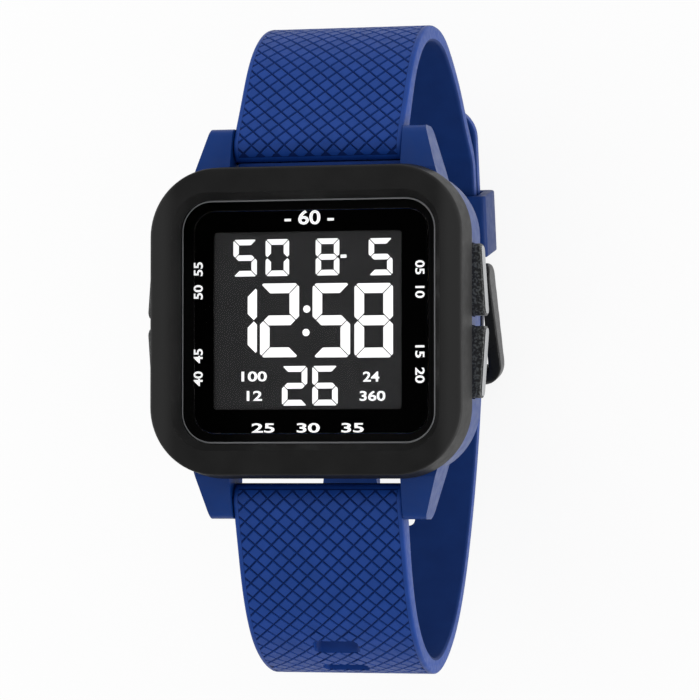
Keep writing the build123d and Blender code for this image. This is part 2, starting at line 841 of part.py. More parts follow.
with BuildPart() as upper_strap:
    with BuildSketch(Plane.YZ):
        with BuildLine():
            outer = Spline(
                root_point(1, upper_root_angle),
                *scaled(upper_outline_shares, upper_reach),
                run_point(straight_run_length, pin_knuckle_radius),
                tangents=[(cos(upper_turn), -sin(upper_turn)), (-run_direction[0], -run_direction[1])],
            )
            inner_line = inner_points(outer, 1)
            inner = Spline(*inner_line, tangents=[outer % 0, outer % 1])
            run_out = Line(outer @ 1, run_point(0, pin_knuckle_radius))
            run_in = Line(inner @ 1, run_point(0, pin_knuckle_radius - strap_thickness))
            Line(run_out @ 1, run_in @ 1)
            Line(outer @ 0, inner @ 0)
        make_face()
        with Locations((spring_bar_y, spring_bar_z)):
            Circle(strap_knuckle_radius)
        with Locations(run_point(0, 0)):
            Circle(pin_knuckle_radius)
            Circle(pin_radius + running_gap, mode=Mode.SUBTRACT)
        with Locations((spring_bar_y, spring_bar_z)):
            Circle(bar_barrel_radius + running_gap, mode=Mode.SUBTRACT)
    extrude(amount=strap_width / 2, both=True)
    with BuildSketch(Plane.XZ):
        with BuildLine():
            Polyline(*band_outline, close=True)
        make_face()
    extrude(amount=2 * loop_depth, both=True, mode=Mode.INTERSECT)
    # gap in the rolled end for the tongue's own roll
    with BuildSketch(run_plane()):
        Rectangle(2 * (pin_knuckle_radius + layer_gap), 2 * (pin_knuckle_radius + layer_gap))
    extrude(amount=tongue_width / 2 + tongue_slot_gap, both=True, mode=Mode.SUBTRACT)
save("upper_strap", upper_strap)


def point_along(curve, distance):
    """Point of a curve at a length from its start."""
    return curve.position_at(distance, position_mode=PositionMode.LENGTH)


def direction_along(curve, distance):
    """Direction of a curve at a length from its start."""
    return curve.tangent_at(distance, position_mode=PositionMode.LENGTH)


def length_at_y(curve, y, low, high):
    """Length along a curve of the loop's sketch to where it reaches y, found between two lengths."""
    for _ in range(bisection_steps):
        middle = (low + high) / 2
        if point_along(curve, middle).X < y:
            low = middle
        else:
            high = middle
    return low


tail_start = run_point(pin_knuckle_radius, tail_outer_out)

with BuildPart() as lower_strap:
    with BuildSketch(Plane.YZ):
        with BuildLine():
            outer = Spline(
                root_point(-1, lower_root_angle),
                *scaled(lower_outline_shares, lower_reach),
                *[run_point(a * frame_bar_along, o * tail_outer_out) for a, o in lower_run_shares],
                tail_start,
                tangents=[(-cos(lower_turn), -sin(lower_turn)), run_direction],
            )
            inner_line = inner_points(outer, -1)
            inner = Spline(*inner_line, tangents=[outer % 0, outer % 1])
            run_out = Line(outer @ 1, run_point(tail_length, tail_outer_out))
            run_in = Line(inner @ 1, run_point(tail_length, tail_inner_out))
            Line(run_out @ 1, run_in @ 1)
            Line(outer @ 0, inner @ 0)
        make_face()
        with Locations((-spring_bar_y, spring_bar_z)):
            Circle(strap_knuckle_radius)
            Circle(bar_barrel_radius + running_gap, mode=Mode.SUBTRACT)
    extrude(amount=strap_width / 2, both=True)
    with BuildSketch(Plane.XZ):
        with BuildLine():
            Polyline(*band_outline, close=True)
        make_face()
    extrude(amount=2 * loop_depth, both=True, mode=Mode.INTERSECT)
    tail_end = faces().sort_by(Axis.Y)[-1]
    fillet(tail_end.edges().sort_by(SortBy.LENGTH)[:2], radius=tail_corner)
    # slots at an even pitch along the outer line, one of them where the tongue goes through
    tongue_slot_y = run_point(-slot_along, tail_outer_out)[0]
    tongue_slot_at = length_at_y(outer, tongue_slot_y, tail_half_share * outer.length, outer.length)
    for step in range(-slots_before, slots_after + 1):
        distance = tongue_slot_at + step * slot_pitch
        beyond = max(0.0, distance - outer.length)
        along = direction_along(outer, distance - beyond)
        place = point_along(outer, distance - beyond) + along * beyond
        slot_plane = Plane(
            origin=(0, place.X, place.Y),
            x_dir=(1, 0, 0),
            z_dir=Vector(1, 0, 0).cross(Vector(0, along.X, along.Y)),
        )
        with BuildSketch(slot_plane):
            RectangleRounded(slot_width, slot_length, slot_round)
        extrude(amount=2 * strap_thickness, both=True, mode=Mode.SUBTRACT)
save("lower_strap", lower_strap)

# Keeper: a ring round both layers of the strap
keeper_y, keeper_z = run_point(keeper_start, 0)
keeper_plane = Plane(origin=(0, keeper_y, keeper_z), x_dir=(1, 0, 0), z_dir=(0, *run_direction))
keeper_bottom_out = pin_knuckle_radius - strap_thickness - keeper_gap
keeper_top_out = tail_outer_out + keeper_gap
keeper_inner_width = strap_tail_width + 2 * keeper_gap

with BuildPart() as strap_keeper:
    with BuildSketch(keeper_plane):
        with Locations((0, (keeper_bottom_out + keeper_top_out) / 2)):
            RectangleRounded(
                keeper_inner_width + 2 * keeper_side_wall,
                keeper_top_out - keeper_bottom_out + 2 * keeper_wall,
                keeper_round,
            )
            Rectangle(keeper_inner_width, keeper_top_out - keeper_bottom_out, mode=Mode.SUBTRACT)
    extrude(amount=keeper_length)
save("strap_keeper", strap_keeper)

# Buckle frame: two arms that turn on the pin and the bar across their far ends
arm_inner_x = strap_tail_width / 2 + frame_arm_gap
arm_outer_x = arm_inner_x + frame_arm_thickness
arm_pivot_x = arm_outer_x - frame_arm_taper
frame_bar_end = frame_bar_along - frame_bar_radius
frame_plan = Plane(
    origin=(0, pin_y, pin_z),
    x_dir=(1, 0, 0),
    z_dir=Vector(1, 0, 0).cross(Vector(0, *run_direction)),
)

with BuildPart() as buckle_frame:
    for side in (1, -1):
        with BuildSketch(run_plane(side * arm_inner_x)):
            with BuildLine():
                CenterArc((0, 0), frame_pivot_radius, 0, 360)
                CenterArc((frame_bar_along, frame_bar_out), frame_bar_radius, 0, 360)
            make_hull()
        extrude(amount=-side * frame_arm_thickness)
    with BuildSketch(run_plane()):
        with Locations((frame_bar_along, frame_bar_out)):
            Circle(frame_bar_radius)
    extrude(amount=arm_outer_x, both=True)
    with BuildSketch(frame_plan):
        with BuildLine():
            Polyline(
                (-arm_outer_x, frame_bar_end),
                (arm_outer_x, frame_bar_end),
                (arm_pivot_x, frame_pivot_radius),
                (-arm_pivot_x, frame_pivot_radius),
                close=True,
            )
        make_face()
        fillet(vertices().group_by(Axis.Y)[0], radius=frame_bar_corner)
        fillet(vertices().group_by(Axis.Y)[-1], radius=frame_pivot_corner)
    extrude(amount=2 * loop_depth, both=True, mode=Mode.INTERSECT)
    with BuildSketch(run_plane()):
        Circle(pin_radius + seat_gap)
    extrude(amount=arm_pivot_x - frame_pin_inset, both=True, mode=Mode.SUBTRACT)
    notch_out = frame_bar_out + frame_bar_radius - bar_notch_depth
    with BuildSketch(run_plane()):
        with Locations((frame_bar_along, notch_out + frame_bar_radius)):
            Rectangle(4 * frame_bar_radius, 2 * frame_bar_radius)
    extrude(amount=tongue_width / 2 + tongue_slot_gap, both=True, mode=Mode.SUBTRACT)
save("buckle_frame", buckle_frame)

with BuildPart() as buckle_pin:
    with BuildSketch(run_plane()):
        Circle(pin_radius)
    extrude(amount=arm_pivot_x - frame_pin_inset, both=True)
save("buckle_pin", buckle_pin)

# Tongue: rolled round the pin, through its slot and down to its notch in the bar
with BuildPart() as buckle_tongue:
    tongue_tip_out = notch_out + tongue_rest_gap + tongue_thickness / 2
    with BuildSketch(run_plane()):
        with BuildLine():
            FilletPolyline(
                (0, 0),
                (-tongue_leg_along, 0),
                (-tongue_leg_along - tongue_leg_lean, tail_outer_out - tongue_below_tail),
                (frame_bar_along - tongue_tip_overhang, tongue_tip_out),
                radius=tongue_thickness,
            )
        trace(line_width=tongue_thickness)
        Circle(tongue_knuckle_radius)
        Circle(pin_radius + running_gap, mode=Mode.SUBTRACT)
    extrude(amount=tongue_width / 2, both=True)
save("buckle_tongue", buckle_tongue)
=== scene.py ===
import json
from bisect import bisect_right
from math import atan2, cos, degrees, hypot, pi, radians, sin

import bmesh
import bpy
from mathutils import Matrix, Vector
from mathutils.bvhtree import BVHTree


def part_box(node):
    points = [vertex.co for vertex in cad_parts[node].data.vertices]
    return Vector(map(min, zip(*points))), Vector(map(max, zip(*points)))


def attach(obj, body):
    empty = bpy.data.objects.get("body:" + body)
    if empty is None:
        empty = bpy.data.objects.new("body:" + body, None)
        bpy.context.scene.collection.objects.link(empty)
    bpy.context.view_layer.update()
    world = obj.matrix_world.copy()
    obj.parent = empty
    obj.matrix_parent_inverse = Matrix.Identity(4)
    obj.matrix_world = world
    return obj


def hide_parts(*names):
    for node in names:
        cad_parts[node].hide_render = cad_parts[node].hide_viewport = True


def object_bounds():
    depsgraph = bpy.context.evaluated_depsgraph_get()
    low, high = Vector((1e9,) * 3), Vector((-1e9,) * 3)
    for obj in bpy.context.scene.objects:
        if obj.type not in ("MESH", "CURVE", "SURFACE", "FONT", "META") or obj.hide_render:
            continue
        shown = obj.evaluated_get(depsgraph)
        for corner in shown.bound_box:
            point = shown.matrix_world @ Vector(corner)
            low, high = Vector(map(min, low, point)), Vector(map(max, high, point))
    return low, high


# Digital watch: its looks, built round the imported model. Shapes are worked out in millimetres,
# +Z out of the dial and +Y towards the twelve o'clock lugs, and go into the scene in metres.
MM = 0.001
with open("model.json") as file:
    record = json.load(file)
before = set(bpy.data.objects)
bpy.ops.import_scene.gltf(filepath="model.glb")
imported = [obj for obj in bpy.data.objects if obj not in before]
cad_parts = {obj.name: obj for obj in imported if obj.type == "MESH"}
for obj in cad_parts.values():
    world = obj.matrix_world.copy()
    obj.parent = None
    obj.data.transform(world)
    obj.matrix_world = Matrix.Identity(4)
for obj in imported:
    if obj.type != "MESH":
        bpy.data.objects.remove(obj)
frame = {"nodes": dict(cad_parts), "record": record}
cad_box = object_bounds()
nodes = frame["nodes"]


# Materials: places and depths in millimetres, features per millimetre
WHITE = (1.0, 1.0, 1.0, 1.0)
# Across x, where the painted light on the bezel's left and right limbs starts and ends
LIMB_PAINTED_LIGHT_FROM, LIMB_PAINTED_LIGHT_TO = 16.4, 18.6
BEVEL_SLOPE = 0.7071
BEVEL_SLOPE_BAND = 0.2


def srgb(red, green, blue):
    """Linear colour of a screen colour given from 0 to 255."""
    shares = [value / 255 for value in (red, green, blue)]
    linear = (v / 12.92 if v <= 0.04045 else ((v + 0.055) / 1.055) ** 2.4 for v in shares)
    return (*linear, 1.0)


class Finish:
    """A procedural finish: a Principled shader and the nodes that vary it over the surface."""

    def __init__(self, name, roughness, metallic=0.0, **constants):
        self.material = bpy.data.materials.new(name)
        self.material.use_nodes = True
        self.tree = self.material.node_tree
        self.shader = self.tree.nodes["Principled BSDF"]
        self.shader.inputs["Roughness"].default_value = roughness
        self.shader.inputs["Metallic"].default_value = metallic
        for socket, value in constants.items():
            self.shader.inputs[socket.replace("_", " ")].default_value = value
        self.place = self.tree.nodes.new("ShaderNodeTexCoord").outputs["Object"]

    def link(self, source, target):
        """A link from an output to an input."""
        self.tree.links.new(source, target)

    def stretched(self, stretch):
        """Object coordinates scaled apart along the three axes."""
        node = self.tree.nodes.new("ShaderNodeVectorMath")
        node.operation = "MULTIPLY"
        node.inputs[1].default_value = stretch
        self.link(self.place, node.inputs[0])
        return node.outputs[0]

    def noise(self, per_mm, detail=2.0, stretch=None):
        """Noise with that many features in a millimetre."""
        node = self.tree.nodes.new("ShaderNodeTexNoise")
        node.inputs["Scale"].default_value = per_mm / MM
        node.inputs["Detail"].default_value = detail
        self.link(self.stretched(stretch) if stretch else self.place, node.inputs["Vector"])
        return node.outputs["Fac"]

    def ranged(self, source, low, high, narrow=0.3):
        """A noise value between narrow and 1 - narrow, spread from low to high."""
        node = self.tree.nodes.new("ShaderNodeMapRange")
        node.inputs["From Min"].default_value = narrow
        node.inputs["From Max"].default_value = 1 - narrow
        node.inputs["To Min"].default_value = low
        node.inputs["To Max"].default_value = high
        self.link(source, node.inputs["Value"])
        return node.outputs["Result"]

    def away_from_middle(self, near_mm, far_mm):
        """0 to 1 as the distance from the plane x = 0 grows."""
        parts = self.tree.nodes.new("ShaderNodeSeparateXYZ")
        self.link(self.place, parts.inputs[0])
        distance = self.tree.nodes.new("ShaderNodeMath")
        distance.operation = "ABSOLUTE"
        self.link(parts.outputs["X"], distance.inputs[0])
        node = self.tree.nodes.new("ShaderNodeMapRange")
        node.interpolation_type = "SMOOTHSTEP"
        node.inputs["From Min"].default_value = near_mm * MM
        node.inputs["From Max"].default_value = far_mm * MM
        self.link(distance.outputs[0], node.inputs["Value"])
        return node.outputs["Result"]

    def mixed(self, factor, first, second):
        """Colour between two others."""
        node = self.tree.nodes.new("ShaderNodeMix")
        node.data_type = "RGBA"
        self.link(factor, node.inputs["Factor"])
        for socket, colour in ((node.inputs["A"], first), (node.inputs["B"], second)):
            if isinstance(colour, tuple):
                socket.default_value = colour
            else:
                self.link(colour, socket)
        return node.outputs["Result"]

    def coloured(self, factor, first, second):
        """The surface's colour between two others."""
        self.link(self.mixed(factor, first, second), self.shader.inputs["Base Color"])
        return self

    def colours(self, first, second, per_mm, stretch=None):
        """Colour that drifts between two tones, given as screen colours."""
        drift = self.ranged(self.noise(per_mm, stretch=stretch), 0, 1)
        return self.coloured(drift, srgb(*first), srgb(*second))

    def rough(self, low, high, per_mm, stretch=None):
        """Roughness that drifts between two values."""
        drift = self.ranged(self.noise(per_mm, stretch=stretch), low, high)
        self.link(drift, self.shader.inputs["Roughness"])
        return self

    def grain(self, per_mm, depth_mm, strength, stretch=None, detail=2.0):
        """Fine relief of that depth."""
        bump = self.tree.nodes.new("ShaderNodeBump")
        bump.inputs["Strength"].default_value = strength
        bump.inputs["Distance"].default_value = depth_mm * MM
        self.link(self.noise(per_mm, detail, stretch), bump.inputs["Height"])
        self.link(bump.outputs["Normal"], self.shader.inputs["Normal"])
        return self


def shader_mix(tree, factor, first, second):
    """The output of a shader between two others."""
    mix = tree.nodes.new("ShaderNodeMixShader")
    for source, target in zip((factor, first, second), mix.inputs):
        tree.links.new(source, target)
    return mix.outputs[0]


def bezel_plastic():
    """Black, with painted light: a lighter tone on the bezel's left and right limbs, standing in
    for light from the side.
    """
    finish = Finish("bezel_matte_black", 0.45, Specular_IOR_Level=0.12)
    drift = finish.ranged(finish.noise(0.25), 0, 1)
    face = finish.mixed(drift, srgb(28, 28, 28), srgb(32, 32, 32))
    # Painted light: a lighter grey on the left and right limbs
    limb_painted_light = finish.away_from_middle(LIMB_PAINTED_LIGHT_FROM, LIMB_PAINTED_LIGHT_TO)
    finish.coloured(limb_painted_light, face, srgb(43, 43, 43))
    return finish.rough(0.42, 0.52, 0.8).grain(14.0, 0.008, 0.5)


def button_plastic():
    """Textured black: grey specks on a dark ground, and a coarse grain."""
    finish = Finish("button_textured_black", 0.5)
    specks = finish.ranged(finish.noise(3.4, detail=4.0), -0.9, 1.0, narrow=0.42)
    finish.coloured(specks, srgb(38, 39, 39), srgb(76, 79, 79))
    return finish.grain(4.5, 0.05, 0.9, detail=3.0)


def crystal_glass():
    """Clear glass that lets the lamps through, with a pale grey painted highlight on the bevel
    round its face.
    """
    finish = Finish("crystal_clear", 0.02, Base_Color=WHITE, Transmission_Weight=1.0, IOR=1.14)
    tree = finish.tree
    # The bevel's pale grey diffuse finish is a painted highlight, standing in for the light its
    # chamfer catches
    bevel_painted_highlight = tree.nodes.new("ShaderNodeBsdfPrincipled")
    bevel_painted_highlight.inputs["Base Color"].default_value = srgb(168, 170, 173)
    bevel_painted_highlight.inputs["Roughness"].default_value = 0.35
    geometry = tree.nodes.new("ShaderNodeNewGeometry")
    parts = tree.nodes.new("ShaderNodeSeparateXYZ")
    finish.link(geometry.outputs["True Normal"], parts.inputs[0])
    bevel = tree.nodes.new("ShaderNodeMath")
    bevel.operation = "COMPARE"
    bevel.inputs[1].default_value = BEVEL_SLOPE
    bevel.inputs[2].default_value = BEVEL_SLOPE_BAND
    finish.link(parts.outputs["Z"], bevel.inputs[0])
    solid = shader_mix(tree, bevel.outputs[0], finish.shader.outputs[0], bevel_painted_highlight.outputs[0])
    clear = tree.nodes.new("ShaderNodeBsdfTransparent")
    path = tree.nodes.new("ShaderNodeLightPath")
    passing = shader_mix(tree, path.outputs["Is Shadow Ray"], solid, clear.outputs[0])
    finish.link(passing, tree.nodes["Material Output"].inputs["Surface"])
    return finish


# The record's material slots
finishes = {
    "case_plastic": Finish("case_satin_blue", 0.38, Specular_IOR_Level=0.22)
    .colours((9, 47, 110), (12, 51, 116), 0.2)
    .rough(0.34, 0.44, 0.9)
    .grain(12.0, 0.006, 0.5),
    "bezel_plastic": bezel_plastic(),
    "glass": crystal_glass(),
    "seal_rubber": Finish("seal_black_rubber", 0.7)
    .colours((16, 16, 17), (26, 26, 27), 2.0)
    .grain(8.0, 0.01, 0.5),
    "steel": Finish("steel_brushed", 0.3, metallic=1.0)
    .colours((176, 178, 182), (196, 198, 202), 1.2, stretch=(0.05, 1, 1))
    .rough(0.24, 0.4, 6.0, stretch=(0.03, 1, 1))
    .grain(16.0, 0.004, 0.5, stretch=(0.03, 1, 1)),
    "dark_steel": Finish("buckle_gloss_black", 0.3, Specular_IOR_Level=0.14)
    .colours((24, 25, 26), (29, 30, 31), 0.2)
    .rough(0.26, 0.34, 1.5)
    .grain(2.0, 0.004, 0.3),
    "trim_metal": Finish("trim_satin_silver", 0.28, metallic=1.0)
    .colours((150, 152, 154), (172, 174, 176), 1.0, stretch=(1, 0.1, 1))
    .rough(0.2, 0.34, 8.0, stretch=(1, 0.05, 1))
    .grain(20.0, 0.003, 0.4, stretch=(1, 0.05, 1)),
    "button_plastic": button_plastic(),
    "strap_rubber": Finish("strap_rubber_blue", 0.5, Specular_IOR_Level=0.2)
    .colours((16, 56, 128), (20, 60, 136), 0.35)
    .rough(0.42, 0.56, 1.2)
    .grain(9.0, 0.012, 0.6),
    "module_plastic": Finish("module_grey_plastic", 0.55)
    .colours((196, 196, 190), (208, 208, 202), 0.4)
    .grain(10.0, 0.008, 0.4),
    "board_laminate": Finish("board_green_laminate", 0.4)
    .colours((22, 84, 48), (30, 100, 58), 0.8)
    .grain(5.0, 0.01, 0.4, stretch=(1, 0.2, 1)),
    "chip_resin": Finish("chip_black_resin", 0.5)
    .colours((20, 20, 20), (32, 32, 32), 1.5)
    .grain(8.0, 0.01, 0.6),
    "contact_brass": Finish("contact_gilt_brass", 0.3, metallic=1.0)
    .colours((212, 176, 96), (228, 194, 118), 2.0)
    .rough(0.24, 0.38, 4.0),
    "display_black": Finish("display_smoke", 0.35, Specular_IOR_Level=0.05)
    .colours((37, 37, 38), (41, 41, 42), 0.15)
    .rough(0.3, 0.4, 0.4),
    "mask_black": Finish("mask_print_black", 0.45, Specular_IOR_Level=0.05)
    .colours((7, 7, 8), (10, 10, 11), 0.3)
    .rough(0.4, 0.5, 1.0),
    "backlight": Finish("backlight_film", 0.4)
    .colours((226, 232, 228), (238, 242, 238), 0.5)
    .rough(0.35, 0.45, 1.0),
    "connector_rubber": Finish("connector_striped_rubber", 0.6)
    .colours((60, 60, 62), (178, 178, 180), 3.0, stretch=(1, 0.02, 0.02))
    .grain(6.0, 0.01, 0.4),
}
# Finishes of pieces that only the scene has
# Painted shade: the groove floor between the diamonds in a darker blue, standing in for the shade
# in the grooves
strap_groove_shade = (
    Finish("strap_groove_painted_shade", 0.6, Specular_IOR_Level=0.1)
    .colours((3, 28, 80), (6, 34, 90), 0.5)
    .grain(9.0, 0.01, 0.5)
)
# Painted shade: the band's inner face in a darker blue than its outer face, standing in for the
# shade inside the loop
strap_inside_shade = (
    Finish("strap_inner_painted_shade", 0.6, Specular_IOR_Level=0.1)
    .colours((8, 38, 92), (11, 42, 98), 0.35)
    .grain(6.0, 0.01, 0.5)
)
keeper_blue = (
    Finish("keeper_rubber_blue", 0.45, Specular_IOR_Level=0.15)
    .colours((8, 40, 96), (11, 44, 102), 0.3)
    .rough(0.4, 0.5, 1.0)
    .grain(9.0, 0.01, 0.5)
)
# Painted glow: the white print emits a little light, so the numbers and figures show brighter than
# the lamps light them
white_print_painted_glow = (
    Finish(
        "mark_white_painted_glow", 0.5, Specular_IOR_Level=0.2, Emission_Color=WHITE, Emission_Strength=0.32
    )
    .colours((248, 248, 248), (253, 253, 253), 0.5)
    .rough(0.45, 0.55, 1.0)
)
for part in frame["record"]["subparts"]:
    mesh = nodes[part["node"]].data
    mesh.materials.clear()
    mesh.materials.append(finishes[part["material_slot"]].material)


# Objects and outlines
ROUND_PROFILE = 0.5


def add_object(name, data):
    """An object of the scene for a mesh, curve, lamp or camera."""
    item = bpy.data.objects.new(name, data)
    bpy.context.scene.collection.objects.link(item)
    return item


def add_piece(name, points, faces, finish, body, slot):
    """A piece of one finish from points in millimetres."""
    mesh = bpy.data.meshes.new(name)
    mesh.from_pydata([Vector(point) * MM for point in points], [], faces)
    mesh.materials.append(finish.material)
    return add_mesh(name, mesh, body)


def add_mesh(name, mesh, body, sharp=35.0):
    """An object for a finished mesh on a body, smooth but for edges over the given angle."""
    mesh.polygons.foreach_set("use_smooth", [True] * len(mesh.polygons))
    mesh.set_sharp_from_angle(angle=radians(sharp))
    mesh.update()
    piece = add_object(name, mesh)
    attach(piece, body)
    return piece


def evaluated(item):
    """A new mesh of an object with its modifiers applied."""
    bpy.context.view_layer.update()
    graph = bpy.context.evaluated_depsgraph_get()
    return bpy.data.meshes.new_from_object(item.evaluated_get(graph))


def round_edges(model, edges, radius, steps):
    """Edges of a model rounded by a radius in millimetres."""
    bmesh.ops.bevel(
        model,
        geom=edges,
        offset=radius * MM,
        segments=steps,
        profile=ROUND_PROFILE,
        affect="EDGES",
    )


def convex(planes, reach):
    """Convex polygon, counterclockwise, of the points p with n.p <= d for each (n_x, n_y, d)."""
    polygon = [(-reach, -reach), (reach, -reach), (reach, reach), (-reach, reach)]
    for normal_x, normal_y, distance in planes:
        kept = []
        for index, here in enumerate(polygon):
            before = polygon[index - 1]
            here_over = here[0] * normal_x + here[1] * normal_y - distance
            before_over = before[0] * normal_x + before[1] * normal_y - distance
            if (here_over > 0) != (before_over > 0):
                share = before_over / (before_over - here_over)
                kept.append(tuple(b + (h - b) * share for b, h in zip(before, here)))
            if here_over <= 0:
                kept.append(here)
        polygon = kept
        if len(polygon) < 3:
            return []
    return polygon


def area(polygon):
    """Area of a counterclockwise polygon."""
    pairs = zip(polygon, polygon[1:] + polygon[:1])
    return sum(a[0] * b[1] - b[0] * a[1] for a, b in pairs) / 2


# Strap: each half follows its node's surfaces, with the raised diamonds cut to its width and
# slots. Lengths are in millimetres and angles in degrees.
# Finding the surfaces
STATION_STEP = 0.4
PROBE_X = 4.5
PROBE_LIFT = 0.05
PAST_HIT = 0.001
RAY_REACH = 80.0
RAY_COUNT = 600
MOST_THICKNESS = 4.7
SIDE_PROBE_SHARE = 0.15
SLOT_SCAN_STEP = 0.1
SLOT_SCAN_REACH = 2.0
# Ends of the halves: the rolls round the bars and the pin, and where the even run meets them
ROLL_STEPS = 14
ROLL_RADIUS = 2.2
PIN_ROLL_RADIUS = 1.7
ROLL_LAST_ANGLE = 88.0
UPPER_ROOT_ANGLE = 29.0
LOWER_ROOT_ANGLE = 19.0
RUN_ANGLE = 12.0
TAIL_CLEARANCE = 0.02
# Section of the band
EDGE_ROUND = 0.35
EDGE_STEPS = 4
BORDER = 0.62
GROOVE_DEPTH = 0.16
FADE_LENGTH = 1.4
FADE_WIDTH = 0.35
LEAST_RISE = 0.02
# Face tones pick the band's finish: plain rubber, and darker blues of painted shade for the groove
# floor and the inner face
PLAIN, GROOVE, INNER = 0, 1, 2
# Diamonds
GROOVE_WIDTH = 0.13
TILE_BEVEL = 0.1
TILE_ACROSS = 2.15
TILE_ALONG = 2.1
TILE_ROOT = 0.02
TILE_RAIL_SHARE = 0.1
TILE_FADE_SHARE = 0.25
LEAST_TILE_AREA = 0.12
LEAST_SLOT_PIECE = 0.01
PATTERN_ROLL_ANGLE = 47.0
UPPER_PLAIN_END = 3.0
LOWER_PLAIN_END = 2.0
BEND_CUT_STEP = 0.4
BEND_CUT_END = 1.5
# Slots
SLOT_WIDTH = 6.0
SLOT_ROUND = 0.8
SLOT_ROUND_STEPS = 5
SLOT_CUT_RISE = 2.0
ROOT_TWO = 2 ** 0.5
# Lip of the upper half towards the case, and its gap for the tongue
LIP_CLEARANCE = 0.02
LIP_HALF_WIDTH = 10.7
LIP_THICKNESS = 1.2
LIP_RISE = 0.3
LIP_ROUND = 0.25
LIP_ROUND_STEPS = 3
PIN_GAP_HALF_WIDTH = 2.8
PIN_GAP_REACH = 2.1


def tree_of(node):
    """Ray tree of a node's mesh, in millimetres."""
    mesh = nodes[node].data
    points = [vertex.co / MM for vertex in mesh.vertices]
    return BVHTree.FromPolygons(points, [face.vertices for face in mesh.polygons])


def on_circle(node, radius, angle):
    """Point on a circle round a bar's middle line, in the loop's plane."""
    low, high = (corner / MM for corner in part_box(node))
    middle = (low + high) / 2
    turn = radians(angle)
    return Vector((0, middle.y + radius * cos(turn), middle.z + radius * sin(turn)))


def last_hit(tree, start, direction, reach):
    """Distance to the last surface that a ray meets within reach, or None."""
    gone, found = 0.0, None
    while gone < reach:
        spot, _, _, distance = tree.ray_cast(start + direction * gone, direction, reach - gone)
        if spot is None:
            break
        gone += distance
        found = gone
        gone += PAST_HIT
    return found


def across(vector):
    """A direction in the loop's plane turned a quarter turn."""
    return Vector((0, -vector.z, vector.y))


class Band:
    """Stations along one half of the strap: outer and inner point, outward normal, half width."""

    def __init__(self, node, root, end, side, tail_roll):
        self.tree = tree_of(node)
        low, high = (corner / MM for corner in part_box(node))
        self.middle = Vector((0, 0, (low.z + high.z) / 2))
        self.side = side
        start, stop = (degrees(atan2(spot.z - self.middle.z, spot.y)) for spot in (root, end))
        if side < 0:
            stop += 360
        self.stations = []
        self.lay(self.outer_line(start, stop))
        self.length = self.stations[-1]["at"]
        self.roll(self.stations[0], -1, ROLL_RADIUS)
        if tail_roll:
            self.roll(self.stations[-1], 1, PIN_ROLL_RADIUS)

    def outer_line(self, start, stop):
        """Evenly spaced points of the outer face, met by rays from the loop's middle."""
        found = []
        for step in range(RAY_COUNT + 1):
            angle = radians(start + (stop - start) * step / RAY_COUNT)
            direction = Vector((0, cos(angle), sin(angle)))
            origin = self.middle + Vector((PROBE_X, 0, 0))
            distance = last_hit(self.tree, origin, direction, RAY_REACH)
            if distance is not None:
                point = origin + direction * distance
                found.append(Vector((0, point.y, point.z)))
        return resampled(found, STATION_STEP)

    def lay(self, line):
        """Stations at the points of the outer line, each with the thickness and width there."""
        for index, point in enumerate(line):
            ahead = line[min(index + 1, len(line) - 1)]
            behind = line[max(index - 1, 0)]
            along = (ahead - behind).normalized()
            normal = across(along) * self.side
            probe = point + Vector((PROBE_X, 0, 0)) + normal * PROBE_LIFT
            depth = last_hit(self.tree, probe, -normal, MOST_THICKNESS)
            inner = point - normal * (depth - PROBE_LIFT)
            self.stations.append(
                {
                    "at": index * STATION_STEP,
                    "outer": point,
                    "inner": inner,
                    "normal": normal,
                    "along": along,
                    "half": self.half_width(point.lerp(inner, SIDE_PROBE_SHARE)),
                }
            )

    def half_width(self, point):
        """Half the band's width at a point inside it."""
        spot = self.tree.ray_cast(point + Vector((RAY_REACH, 0, 0)), Vector((-1, 0, 0)))[0]
        return spot.x if spot is not None else self.stations[-1]["half"]

    def roll(self, station, way, radius):
        """Stations round the rolled end, from the band's own end to the roll's far side."""
        centre = station["outer"] - station["normal"] * radius
        outward = station["along"] * way
        for step in range(1, ROLL_STEPS + 1):
            turn = radians(ROLL_LAST_ANGLE) * step / ROLL_STEPS
            shift = outward * (radius * sin(turn))
            rise = station["normal"] * (radius * cos(turn))
            rolled = {
                "at": station["at"] + way * radius * turn,
                "outer": centre + shift + rise,
                "inner": centre + shift - rise,
                "normal": (shift + rise).normalized(),
                "half": station["half"],
            }
            self.stations.insert(0 if way < 0 else len(self.stations), rolled)

    def at(self, distance):
        """Outer point, normal and half width at a distance along the band."""
        places = [station["at"] for station in self.stations]
        first = min(max(bisect_right(places, distance) - 1, 0), len(places) - 2)
        a, b = self.stations[first], self.stations[first + 1]
        part = (distance - a["at"]) / (b["at"] - a["at"])
        point = a["outer"].lerp(b["outer"], part)
        normal = a["normal"].lerp(b["normal"], part).normalized()
        return point, normal, a["half"] + (b["half"] - a["half"]) * part

    def slots(self):
        """Middle and length of each slot, found where rays through the band meet nothing."""
        found, opened = [], None
        for step in range(int(self.length / SLOT_SCAN_STEP)):
            distance = step * SLOT_SCAN_STEP
            point, normal, _ = self.at(distance)
            solid = self.tree.ray_cast(point + normal, -normal, SLOT_SCAN_REACH)[0] is not None
            if not solid and opened is None:
                opened = distance
            if solid and opened is not None:
                found.append(((opened + distance) / 2, distance - opened))
                opened = None
        return found


def resampled(line, step):
    """Points at an even step along a line of points."""
    points, left = [line[0]], step
    for a, b in zip(line, line[1:]):
        gap = (b - a).length
        while gap >= left:
            a = a.lerp(b, left / gap)
            points.append(a)
            gap = (b - a).length
            left = step
        left -= gap
    return points


def smooth_share(value):
    """0 to 1 with soft ends."""
    value = min(max(value, 0.0), 1.0)
    return value * value * (3 - 2 * value)


